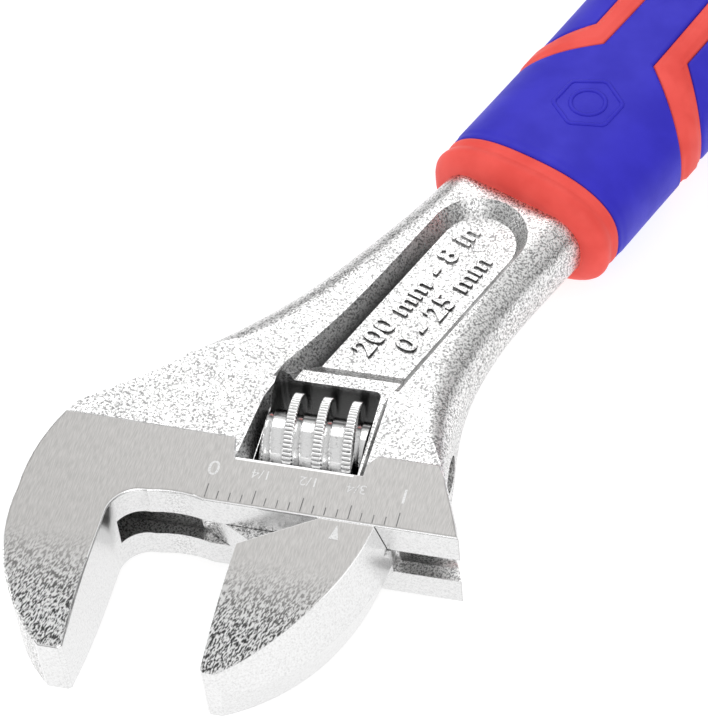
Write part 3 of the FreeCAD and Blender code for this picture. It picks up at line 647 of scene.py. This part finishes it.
TURN_WIDTH, TURN_S = 14.9, 98.0  # the grip's half width near the place where the bands turn
turn_width = np.full((1, len(BLOCK)), TURN_WIDTH)
turn_angle = column_angle(np.full((1, len(BLOCK)), TURN_S), turn_width)
OFFSET = np.abs(oval(turn_angle, turn_width, HALF_THICK)[0])[0]
print(len(BLOCK), "columns round the grip")

# %% [markdown]
# The chevrons cross the grip: the bands run up its front and turn outwards. Here the rows
# follow them. Each curve gives s for every column, and rows are spread between one curve and
# the next, closer together at the seams, where the surface bends most.

# %% Rows along the grip
collar_curve = np.full_like(OFFSET, COLLAR_END)
inner_curve = INNER_TURN - INNER_SLOPE * np.maximum(OFFSET - BAND_IN, 0.0)
outer_curve = OUTER_TURN - OUTER_SLOPE * np.maximum(OFFSET - BAND_OUT, 0.0)
rear_curve = (TONGUE_END + 2.0 * np.clip((OFFSET - BAND_IN) / (BAND_OUT - BAND_IN), 0.0, 1.0)
              + 0.37 * np.maximum(OFFSET - BAND_OUT, 0.0))
end_curve = np.full_like(OFFSET, GRIP_END)


def rows_between(first, last, count):
    """Rows from one curve up to, but not including, the next."""
    share = eased(count)[:-1, None]
    return first + (last - first) * share


quarter = np.linspace(0.0, 0.5 * math.pi, 12)[:, None] + 0.0 * OFFSET
front_rows = [np.full((1, len(OFFSET)), GRIP_START), GRIP_START + LIP_R * (1.0 - np.cos(quarter)),
              rows_between(collar_curve - COLLAR_END + GRIP_START + LIP_R, collar_curve, 12)[1:]]
later_rows = [rows_between(collar_curve, inner_curve, 44), rows_between(inner_curve, outer_curve, 14),
              rows_between(outer_curve, rear_curve, 64),
              np.concatenate([rows_between(rear_curve, end_curve, 40), end_curve[None, :]])]
S = np.concatenate(front_rows + later_rows)
ROW_BLOCK = np.repeat(np.arange(5), [sum(len(r) for r in front_rows)] + [len(r) for r in later_rows])
LIP = np.zeros_like(S)
LIP[1:13] = LIP_R * (1.0 - np.sin(quarter))
SIZE = np.ones_like(S)
SIZE[0] = 0.0                    # the front closes inside the steel neck
print(len(S), "rows along the grip")

# %% [markdown]
# A two-colour moulding shows a fine groove where the colours meet, and its bands stand a
# little above the panels. A displacement texture would need far more faces; the grid's rows and
# columns lie on the seams already, so each point is moved along its normal by a height that
# depends on its distance from the nearest seam.

# %% Grip surface


def grip_points(s, lip, size):
    """Points of the plain grip: the superellipse of each row, drawn in by the lip."""
    width, half = grip_size(s, lip)
    n, z = oval(column_angle(s, width), width * size, half * size)
    return on_handle(s, HANDLE_N + n, z)


def outward(points):
    """Unit normals from the cross product of the differences along rows and columns."""
    down = np.gradient(points, axis=0)
    round_ = np.roll(points, -1, 1) - np.roll(points, 1, 1)
    normal = np.cross(down, round_)
    length = np.linalg.norm(normal, axis=-1, keepdims=True)
    normal = normal / np.maximum(length, 1e-9)
    normal[0], normal[-1] = -ALONG, ALONG
    return normal


def seam_distance(points):
    """Distance of each point from the nearest line where the two colours meet."""
    m = OFFSET
    cos_in, cos_out = math.cos(math.atan(INNER_SLOPE)), math.cos(math.atan(OUTER_SLOPE))
    lines = [np.abs(S - COLLAR_END)]
    lines.append(np.where(m >= BAND_IN - 1e-6, np.abs(S - inner_curve) * cos_in,
                          np.hypot(S - INNER_TURN, BAND_IN - m)))
    lines.append(np.where(m >= BAND_OUT - 1e-6, np.abs(S - outer_curve) * cos_out,
                          np.hypot(S - OUTER_TURN, BAND_OUT - m)))
    between = (m > BAND_IN + 1e-6) & (m < BAND_OUT - 1e-6)
    corner = np.minimum(np.hypot(S - TONGUE_END, m - BAND_IN), np.hypot(S - SIDE_END, BAND_OUT - m))
    lines.append(np.where(between, corner, np.abs(S - rear_curve)))
    long_edges = (((1, 2, 5, 6), INNER_TURN, TONGUE_END), ((3, 4, 7, 0), OUTER_TURN, SIDE_END))
    for blocks, start, end in long_edges:
        beyond = np.maximum(np.maximum(start - S, S - end), 0.0)
        for block in blocks:
            edge = points[:, EDGE_COLUMN[block]][:, None, :]
            lines.append(np.hypot(np.linalg.norm(points - edge, axis=-1), beyond))
    return np.min(lines, axis=0)


def step_up(value, low, high):
    """Smooth step from 0 at low to 1 at high."""
    t = np.clip((value - low) / (high - low), 0.0, 1.0)
    return t * t * (3.0 - 2.0 * t)


SEAM_ROUND = 0.45                # each colour's edge rolls down by this much into the seam
BAND_RISE = 0.28                 # raised middle of the red bands
PANEL_RISE = 0.10                # raised front panel
COLLAR_RISE = 0.22               # the collar's ridge, and the groove behind it
RIDGE_S, RIDGE_HALF = 72.9, 0.8
GROOVE_S, GROOVE_HALF = 74.6, 0.5
plain = grip_points(S, LIP, SIZE)
normals = outward(plain)
seam = seam_distance(plain)
into = np.clip(SEAM_ROUND - seam, 0.0, SEAM_ROUND)
roll = SEAM_ROUND - np.sqrt(np.maximum(SEAM_ROUND ** 2 - into ** 2, 0.0))
in_turn = (ROW_BLOCK == 2)[:, None] & (BLOCK % 4 != 1)
on_band = in_turn | ((ROW_BLOCK == 3)[:, None] & (BLOCK % 2 == 0))
band_rise = BAND_RISE * on_band * step_up(seam, 0.75, 1.15) * step_up(TONGUE_END - S, 0.0, 2.5)
collar_rise = COLLAR_RISE * (np.exp(-((S - RIDGE_S) / RIDGE_HALF) ** 2)
                             - np.exp(-((S - GROOVE_S) / GROOVE_HALF) ** 2))
panel_rise = PANEL_RISE * (ROW_BLOCK == 1)[:, None] * step_up(S - COLLAR_END, 1.1, 1.6)
rise = (band_rise + panel_rise + collar_rise * (ROW_BLOCK == 0)[:, None] - roll) * (SIZE > 0)
surface = plain + normals * rise[..., None]
print("grip surface with", surface.shape[0] * surface.shape[1], "points")

# %% [markdown]
# The grip's plastic is matt, with a low gloss and a skin too fine to see singly. A plain colour
# would look like paint; faint clouds, and specks of a deeper shade, make it a moulding. Its
# highlights are weak, because a strong one would bleach the red and the blue.

# %% Moulded plastic
SPECK_SHARE = 0.18               # how strongly the specks show
GLOSS_SPAN = 0.08                # how far the roughness varies


def moulded_plastic(name, colour, darker, rough):
    """Soft plastic: a fine matt skin, slow cloudy colour, and gloss that varies in slow clouds."""
    material, tree, shader = new_material(name)
    skin = group(tree, PITTED, Size_mm=0.16, Cover=0.5, Depth_mm=0.012, Sharpness=0.3)
    patch = group(tree, PITTED, Size_mm=2.2, Cover=0.45, Depth_mm=0.0, Sharpness=0.3)
    cloud = ramp(tree, patch.outputs["Cloud"], 0.3, 0.7)
    base = blend_colour(tree, cloud, (*colour, 1.0), (*darker, 1.0))
    mark = calc(tree, "MULTIPLY", skin.outputs["Pits"], SPECK_SHARE)
    base = blend_colour(tree, mark, base, (*darker, 1.0))
    gloss = ramp(tree, skin.outputs["Cloud"], 0.3, 0.7, rough, rough + GLOSS_SPAN)
    shader.inputs["IOR"].default_value = 1.5
    shader.inputs["Specular IOR Level"].default_value = 0.25
    tree.links.new(base, shader.inputs["Base Color"])
    tree.links.new(gloss, shader.inputs["Roughness"])
    tree.links.new(skin.outputs["Normal"], shader.inputs["Normal"])
    return material


grip_red = moulded_plastic("moulded_red", (0.93, 0.105, 0.085), (0.82, 0.075, 0.06), 0.48)
grip_blue = moulded_plastic("moulded_blue", (0.036, 0.028, 0.58), (0.028, 0.021, 0.50), 0.46)
print("moulded plastic in red and blue")

# %% [markdown]
# The red core is one closed surface on two levels: at the surface where it shows, and sunk
# under the panels, with walls between the levels. Each blue panel is a closed shell that sits
# in its recess. Booleans could cut them from one another, but would leave ragged seams. Here
# the mask of cells that belong to a piece is all that tells them apart.

# %% Grip pieces
PANEL_DEPTH = 1.3
GRIP_SHARP = math.radians(50.0)  # edges of the grip that turn by more than this stay sharp
rows, columns = S.shape
cells = quads(rows, columns)
sunk = surface - normals * PANEL_DEPTH
levels = np.concatenate([surface.reshape(-1, 3), sunk.reshape(-1, 3)])
LOWER = rows * columns           # numbering of the lower level starts here
cell_row, cell_block = ROW_BLOCK[:-1, None], BLOCK[None, :]
is_tongue = cell_block % 4 == 1
front_mask = (cell_row == 1) | (((cell_row == 2) | (cell_row == 3)) & is_tongue)
left_mask = (cell_row == 3) & (cell_block == 3)
right_mask = (cell_row == 3) & (cell_block == 7)
red_mask = ~(front_mask | left_mask | right_mask)


def shell(name, mask):
    """Closed shell over the masked cells, PANEL_DEPTH thick."""
    inner = cells[mask][:, ::-1] + LOWER
    return make_mesh(name, levels, np.concatenate([cells[mask], inner, walls(cells, mask, LOWER)]))


core_faces = np.concatenate([cells[red_mask], cells[~red_mask] + LOWER, walls(cells, red_mask, LOWER)])
core = make_mesh("grip_core_red", levels, core_faces)
for name, mask, node in (("front_panel_blue", front_mask, "grip_front_panel"),
                         ("left_panel_blue", left_mask, "grip_side_panel_left"),
                         ("right_panel_blue", right_mask, "grip_side_panel_right")):
    panel = shell(name, mask)
    finish(panel, grip_blue, "handle", [node])
    panel.data.set_sharp_from_angle(angle=GRIP_SHARP)

# %% [markdown]
# The butt has a hole to hang the wrench by, with a thick rounded rim. The rim is a ring: a
# superellipse turned about the hole's axis. A plain cylinder cuts the core for it, because the
# hole crosses the grid's rows and columns at every angle.

# %% Hanging hole
MOUNTS = {mount["name"]: mount for mount in frame["record"]["mounts"]}
EYE = np.array(MOUNTS["hanging_hole"]["pos_m"]) / MM
EYE_R = MOUNTS["hanging_hole"]["dims"]["r_mm"]
RIM_R, RIM_HALF = 7.6, 8.6
RIM_POWER = 4.0                  # between round and square


def hanging_rim(turns=96, steps=48):
    """Ring round the hole: radius and height follow a squarish superellipse."""
    angle = np.linspace(0.0, 2.0 * math.pi, turns, endpoint=False)[None, :]
    around = np.linspace(0.0, 2.0 * math.pi, steps, endpoint=False)[:, None]
    c, d = np.cos(around), np.sin(around)
    middle, reach = 0.5 * (RIM_R + EYE_R), 0.5 * (RIM_R - EYE_R)
    radius = middle + reach * np.sign(c) * np.abs(c) ** (2.0 / RIM_POWER)
    height = RIM_HALF * np.sign(d) * np.abs(d) ** (2.0 / RIM_POWER) + 0.0 * angle
    return np.stack([EYE[0] + radius * np.cos(angle), EYE[1] + radius * np.sin(angle), height], -1)


def cut_round_hole(piece, centre, radius):
    """Cut a round hole along Z through a piece, with a Boolean that is applied at once."""
    bpy.ops.mesh.primitive_cylinder_add(vertices=96, radius=radius * MM, depth=60.0 * MM,
                                        location=(centre * MM).tolist())
    cutter = bpy.context.object
    change = piece.modifiers.new("hole", "BOOLEAN")
    change.operation = "DIFFERENCE"
    change.solver = "EXACT"
    change.object = cutter
    solid = bpy.data.meshes.new_from_object(piece.evaluated_get(bpy.context.evaluated_depsgraph_get()))
    piece.modifiers.clear()
    piece.data = solid
    bpy.data.objects.remove(cutter)


cut_round_hole(core, EYE, 0.5 * (EYE_R + RIM_R))
finish(core, grip_red, "handle", ["grip_core"])
core.data.set_sharp_from_angle(angle=GRIP_SHARP)
rim_points = hanging_rim()
rim = make_mesh("hanging_rim", rim_points, quads(*rim_points.shape[:2], wrap_rows=True).reshape(-1, 4))
finish(rim, grip_red, "handle")

# %% [markdown]
# A plain emblem stands on the front panel: a hexagon with a ring in it, like a nut. Each is a
# bead, a small round profile carried along a closed path. A curve with a bevel would lie flat;
# here the height of the grip is worked out at every point, so the bead follows the surface.

# %% Emblem
EMBLEM_S, EMBLEM_N = 89.4, 14.6
HEX_R, RING_R = 5.0, 2.5
BEAD_HALF, BEAD_RISE = 0.34, 0.20
BEAD_LIFT = 0.10                 # the bead's middle above the plain form
CORNER_SHARE = 0.965             # the hexagon's corners are rounded off to this share


def surface_height(s, n):
    """Height of the grip's front over the point s, n: the superellipse solved for z."""
    width, half = grip_size(s, 0.0)
    share = np.clip(np.abs((n - HANDLE_N) / width), 0.0, 1.0)
    return half * (1.0 - share ** OVAL_POWER) ** (1.0 / OVAL_POWER)


def bead_on_grip(radius_at, turns=240, steps=12):
    """Bead along radius_at(angle) about the emblem: a round profile across the path."""
    angle = np.linspace(0.0, 2.0 * math.pi, turns, endpoint=False)[None, :]
    around = np.linspace(0.0, 2.0 * math.pi, steps, endpoint=False)[:, None]
    radius = radius_at(angle) + BEAD_HALF * np.cos(around)
    s = EMBLEM_S + radius * np.cos(angle)
    n = EMBLEM_N + radius * np.sin(angle)
    return on_handle(s, n, surface_height(s, n) + BEAD_LIFT + BEAD_RISE * np.sin(around))


def hexagon(angle):
    """Distance to the side of a hexagon whose corners are a little rounded."""
    sector = (angle % (math.pi / 3.0)) - math.pi / 6.0
    return np.minimum(HEX_R * math.cos(math.pi / 6.0) / np.cos(sector), CORNER_SHARE * HEX_R)


for name, path in (("emblem_hexagon", hexagon), ("emblem_ring", lambda angle: RING_R + 0.0 * angle)):
    bead_points = bead_on_grip(path)
    bead = make_mesh(name, bead_points, quads(*bead_points.shape[:2], wrap_rows=True).reshape(-1, 4))
    finish(bead, grip_blue, "handle")

# %% [markdown]
# The ground band carries an opening scale in sixteenths of an inch: dark engraved lines, a
# longer one at each quarter, and light etched numerals that read with the jaws upwards. The
# jaw has a small pointer. The recess in the handle holds raised size marks. Real marks are
# cut or etched into the steel; thin inlays that stand a hundredth or two proud of the face look
# the same, and leave the head's own surface whole.

# %% Marking materials


def marking(name, level, rough):
    """Thin etched or blackened mark, broken a little by the metal's grain."""
    material, tree, shader = new_material(name)
    worn = group(tree, PITTED, Size_mm=0.22, Cover=0.42, Depth_mm=0.008, Sharpness=0.1)
    colour = blend_colour(tree, worn.outputs["Pits"], grey(level), grey(0.5 * level + 0.18))
    gloss = ramp(tree, worn.outputs["Cloud"], 0.3, 0.7, rough, rough + 0.12)
    shader.inputs["Metallic"].default_value = 1.0
    tree.links.new(colour, shader.inputs["Base Color"])
    tree.links.new(gloss, shader.inputs["Roughness"])
    tree.links.new(worn.outputs["Normal"], shader.inputs["Normal"])
    return material


etched_light = marking("etched_light", 0.74, 0.5)
engraved_dark = marking("engraved_dark", 0.20, 0.5)
print("marking materials ready")

# %% [markdown]
# The lines are so thin that a box for each is enough. All of them are one piece, made from one
# array: eight corners for each line, and the same six faces counted on.

# %% Scale lines
FACE_Z = 7.0
INCH = 25.4
SCALE_ZERO = 12.0                # frame X of the scale's zero
SIXTEENTHS = 17
LINE_WIDTH = 0.13
LINE_FOOT = 0.45                 # lines begin this far above the slide line
LONG_LINE, SHORT_LINE = 2.65, 1.70      # and end here
SET_IN, PROUD = 0.05, 0.02       # inlays reach this far into the face, and out of it


def scale_lines():
    """One flat box per line; every fourth line is longer."""
    k = np.arange(SIXTEENTHS)
    x = SCALE_ZERO + k * INCH / 16.0
    top = FACE_MIDDLE + np.where(k % 4 == 0, LONG_LINE, SHORT_LINE)
    low = np.full(SIXTEENTHS, FACE_MIDDLE + LINE_FOOT)
    sign_x = np.array([-1, 1, 1, -1, -1, 1, 1, -1])
    at_top = np.array([0, 0, 1, 1, 0, 0, 1, 1])
    at_face = np.array([0, 0, 0, 0, 1, 1, 1, 1])
    xs = x[:, None] + 0.5 * LINE_WIDTH * sign_x
    ys = low[:, None] + (top - low)[:, None] * at_top
    zs = FACE_Z - SET_IN + (SET_IN + PROUD) * at_face + 0.0 * xs
    box = np.array([[0, 3, 2, 1], [4, 5, 6, 7], [0, 1, 5, 4],
                    [1, 2, 6, 5], [2, 3, 7, 6], [3, 0, 4, 7]])
    faces = box[None] + 8 * k[:, None, None]
    return np.stack([xs, ys, zs], -1), faces.reshape(-1, 4)


line_points, line_faces = scale_lines()
lines = make_mesh("scale_lines", line_points, line_faces)
lines.data.shade_flat()
finish(lines, engraved_dark, "handle")

# %% [markdown]
# Numerals and size marks are Blender's own text, turned into a mesh at once so that it rides
# with its body like any other piece. The numerals read with the jaws upwards; the size marks
# read along the handle and are forged with it, so they stand high and have its chrome.

# %% Lettering
CAPITAL_SHARE = 0.72             # height of a capital as a share of the font's size


def letters(name, text, height, depth, centre, reading, material, weight=0.0, spacing=1.0):
    """Text made a mesh, then laid with its reading direction and its middle in place."""
    curve = bpy.data.curves.new(name, "FONT")
    curve.body = text
    curve.size = height * MM / CAPITAL_SHARE
    curve.align_x = "CENTER"
    curve.align_y = "CENTER"
    curve.space_character = spacing
    curve.extrude = 0.5 * depth * MM
    curve.offset = weight * MM
    holder = bpy.data.objects.new(name + "_text", curve)
    bpy.context.scene.collection.objects.link(holder)
    solid = bpy.data.meshes.new_from_object(holder.evaluated_get(bpy.context.evaluated_depsgraph_get()))
    bpy.data.objects.remove(holder)
    right, out = Vector(reading), Vector((0, 0, 1))
    turn = Matrix((right, out.cross(right), out)).transposed().to_4x4()
    solid.transform(Matrix.Translation(Vector(centre) * MM) @ turn)
    close_poles(solid)
    piece = bpy.data.objects.new(name, solid)
    bpy.context.scene.collection.objects.link(piece)
    finish(piece, material, "handle")
    return piece


NUMERAL_Y = 18.4
WHOLE_HEIGHT, FRACTION_HEIGHT = 2.4, 1.5
NUMERAL_DEPTH = 0.06
NUMERAL_Z = FACE_Z - 0.02        # the middle of that depth
for name, text, quarter_inches in (("numeral_0", "0", 0), ("numeral_quarter", "1/4", 1),
                                   ("numeral_half", "1/2", 2), ("numeral_three_quarters", "3/4", 3),
                                   ("numeral_1", "1", 4)):
    height = WHOLE_HEIGHT if len(text) == 1 else FRACTION_HEIGHT
    middle = (SCALE_ZERO + quarter_inches * INCH / 4.0, NUMERAL_Y, NUMERAL_Z)
    letters(name, text, height, NUMERAL_DEPTH, middle, (-1, 0, 0), etched_light)

RECESS_Z = 3.2                   # floor of the handle's recess
MARK_HEIGHT, MARK_DEPTH = 3.2, 0.70
MARK_WEIGHT, MARK_SPACING = 0.10, 1.06
for name, text, s, n in (("size_mark_metric", "200 mm - 8 in", 51.2, 11.6),
                         ("size_mark_opening", "0 - 25 mm", 51.2, 16.1)):
    middle = on_handle(np.array(s), np.array(n), np.array(RECESS_Z + 0.05))
    letters(name, text, MARK_HEIGHT, MARK_DEPTH, middle.tolist(), ALONG.tolist(), body_steel,
            MARK_WEIGHT, MARK_SPACING)

# %% [markdown]
# The pointer is a small etched triangle on the movable jaw that shows the opening on the scale.
# It rides with the jaw, so its place is the jaw's face plus the scale's zero.

# %% Pointer
POINTER_X = MOUNTS["movable_jaw_face"]["pos_m"][0] / MM + SCALE_ZERO
POINTER_HALF = 0.65
POINTER_TIP = FACE_MIDDLE - 0.7
POINTER_FOOT = FACE_MIDDLE - 3.0


def pointer():
    """Small flat triangle whose tip points at the slide line, as two levels of four points."""
    plan = np.array([(POINTER_X, POINTER_TIP), (POINTER_X - POINTER_HALF, POINTER_FOOT),
                     (POINTER_X, POINTER_FOOT), (POINTER_X + POINTER_HALF, POINTER_FOOT)])
    levels = [np.column_stack([plan, np.full(4, z)]) for z in (FACE_Z - SET_IN, FACE_Z + PROUD)]
    sides = [[k, (k + 1) % 4, (k + 1) % 4 + 4, k + 4] for k in range(4)]
    return np.concatenate(levels), np.array([[0, 3, 2, 1], [4, 5, 6, 7]] + sides)


jaw_pointer = make_mesh("jaw_pointer", *pointer())
jaw_pointer.data.shade_flat()
finish(jaw_pointer, etched_light, "jaw")
print("jaw pointer at X", round(POINTER_X, 2))

# %% [markdown]
# The studio is white all round, so that only the wrench has any colour. Its floor lies just
# under the wrench. A white floor lit by lamps alone would send the grip's colours back as a
# stain; a greyer one that also glows is as bright, and has only a faint shadow.

# %% Floor
FLOOR_HALF = 1.6                 # metres
FLOOR_GAP = 0.0002               # under the lowest point of the wrench
FLOOR_GLOW = 0.80


def pale_floor():
    """Matt grey with a faint cloud, brought up to white by its own glow."""
    material, tree, shader = new_material("pale_floor")
    place = add(tree, "ShaderNodeTexCoord").outputs["Object"]
    tone = add(tree, "ShaderNodeTexNoise", {"Vector": place, "Scale": 6.0, "Detail": 3.0}).outputs[0]
    colour = blend_colour(tree, ramp(tree, tone, 0.3, 0.7), grey(0.36), grey(0.39))
    tree.links.new(colour, shader.inputs["Base Color"])
    shader.inputs["Roughness"].default_value = 0.9
    shader.inputs["Emission Color"].default_value = grey(1.0)
    shader.inputs["Emission Strength"].default_value = FLOOR_GLOW
    return material


floor_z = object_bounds()[0][2] - FLOOR_GAP
mesh = bpy.data.meshes.new("floor")
corners = [(-FLOOR_HALF, -FLOOR_HALF, floor_z), (FLOOR_HALF, -FLOOR_HALF, floor_z),
           (FLOOR_HALF, FLOOR_HALF, floor_z), (-FLOOR_HALF, FLOOR_HALF, floor_z)]
mesh.from_pydata(corners, [], [(0, 1, 2, 3)])
floor = bpy.data.objects.new("floor", mesh)
bpy.context.scene.collection.objects.link(floor)
mesh.materials.append(pale_floor())
print("floor at z =", round(1000 * floor_z, 2), "mm")

# %% [markdown]
# Chrome shows what stands round it. Three soft square lights, behind, to the left and in front,
# give its faces their bright areas. The sky is pale grey with a darker band above the horizon:
# without it the round edges of the neck would have nothing dark to mirror and would vanish
# against the floor. The Standard view transform keeps white paper-white and the colours pure;
# the one that Blender starts with would grey them.

# %% Lights
SKY, SKY_BAND = 0.90, 0.16       # grey levels
DUSK_IN = (0.02, 0.12)           # height of a direction where the dark band comes in
DUSK_OUT = (0.22, 0.42)          # and where it goes out
SKY_STRENGTH = 0.90


def soft_light(name, location, aim, size, power):
    """Square area light at a place in metres, turned to face a point."""
    data = bpy.data.lights.new(name, "AREA")
    data.shape = "SQUARE"
    data.size = size
    data.energy = power
    light = bpy.data.objects.new(name, data)
    bpy.context.scene.collection.objects.link(light)
    light.location = location
    light.rotation_euler = (Vector(aim) - Vector(location)).to_track_quat("-Z", "Y").to_euler()
    return light


CENTRE = (0.03, 0.06, 0.0)
soft_light("softbox_back", (-0.10, 0.75, 0.75), CENTRE, 0.55, 1.4)
soft_light("softbox_left", (-0.80, 0.05, 0.45), CENTRE, 0.5, 1.3)
soft_light("softbox_front", (0.25, -0.65, 0.55), CENTRE, 0.6, 1.7)
world = bpy.data.worlds.new("studio")
world.use_nodes = True
sky = world.node_tree
direction = add(sky, "ShaderNodeTexCoord").outputs["Generated"]
upwards = add(sky, "ShaderNodeSeparateXYZ", {0: direction}).outputs[2]
dusk = calc(sky, "MULTIPLY", ramp(sky, upwards, *DUSK_IN), ramp(sky, upwards, *DUSK_OUT, 1.0, 0.0))
sky.links.new(blend_colour(sky, dusk, grey(SKY), grey(SKY_BAND)), sky.nodes["Background"].inputs[0])
sky.nodes["Background"].inputs[1].default_value = SKY_STRENGTH
bpy.context.scene.world = world
bpy.context.scene.view_settings.view_transform = "Standard"
print("lights set")

# %% [markdown]
# The camera looks down at the head from beside the jaws' tips, near enough for the jaws to look
# larger than the grip. It leans a little, so its aim and its roll are set apart.

# %% Camera
CAMERA = (0.10172, -0.18825, 0.29281)    # where the camera stands
AIM = (0.02375, 0.04477, 0.0)            # the point that it looks at
ROLL = math.radians(6.27)                # the camera leans this far clockwise
LENS = 140.03                            # mm, on a 36 mm wide sensor
camera = bpy.data.objects.new("camera", bpy.data.cameras.new("camera"))
bpy.context.scene.collection.objects.link(camera)
camera.data.lens = LENS
camera.data.sensor_width = 36.0
camera.data.clip_start = 0.02
level = (Vector(AIM) - Vector(CAMERA)).to_track_quat("-Z", "Y").to_matrix()
camera.matrix_world = Matrix.Translation(CAMERA) @ (level @ Matrix.Rotation(-ROLL, 3, "Z")).to_4x4()
bpy.context.scene.camera = camera
print("camera", round((Vector(AIM) - Vector(CAMERA)).length, 3), "m from its aim")
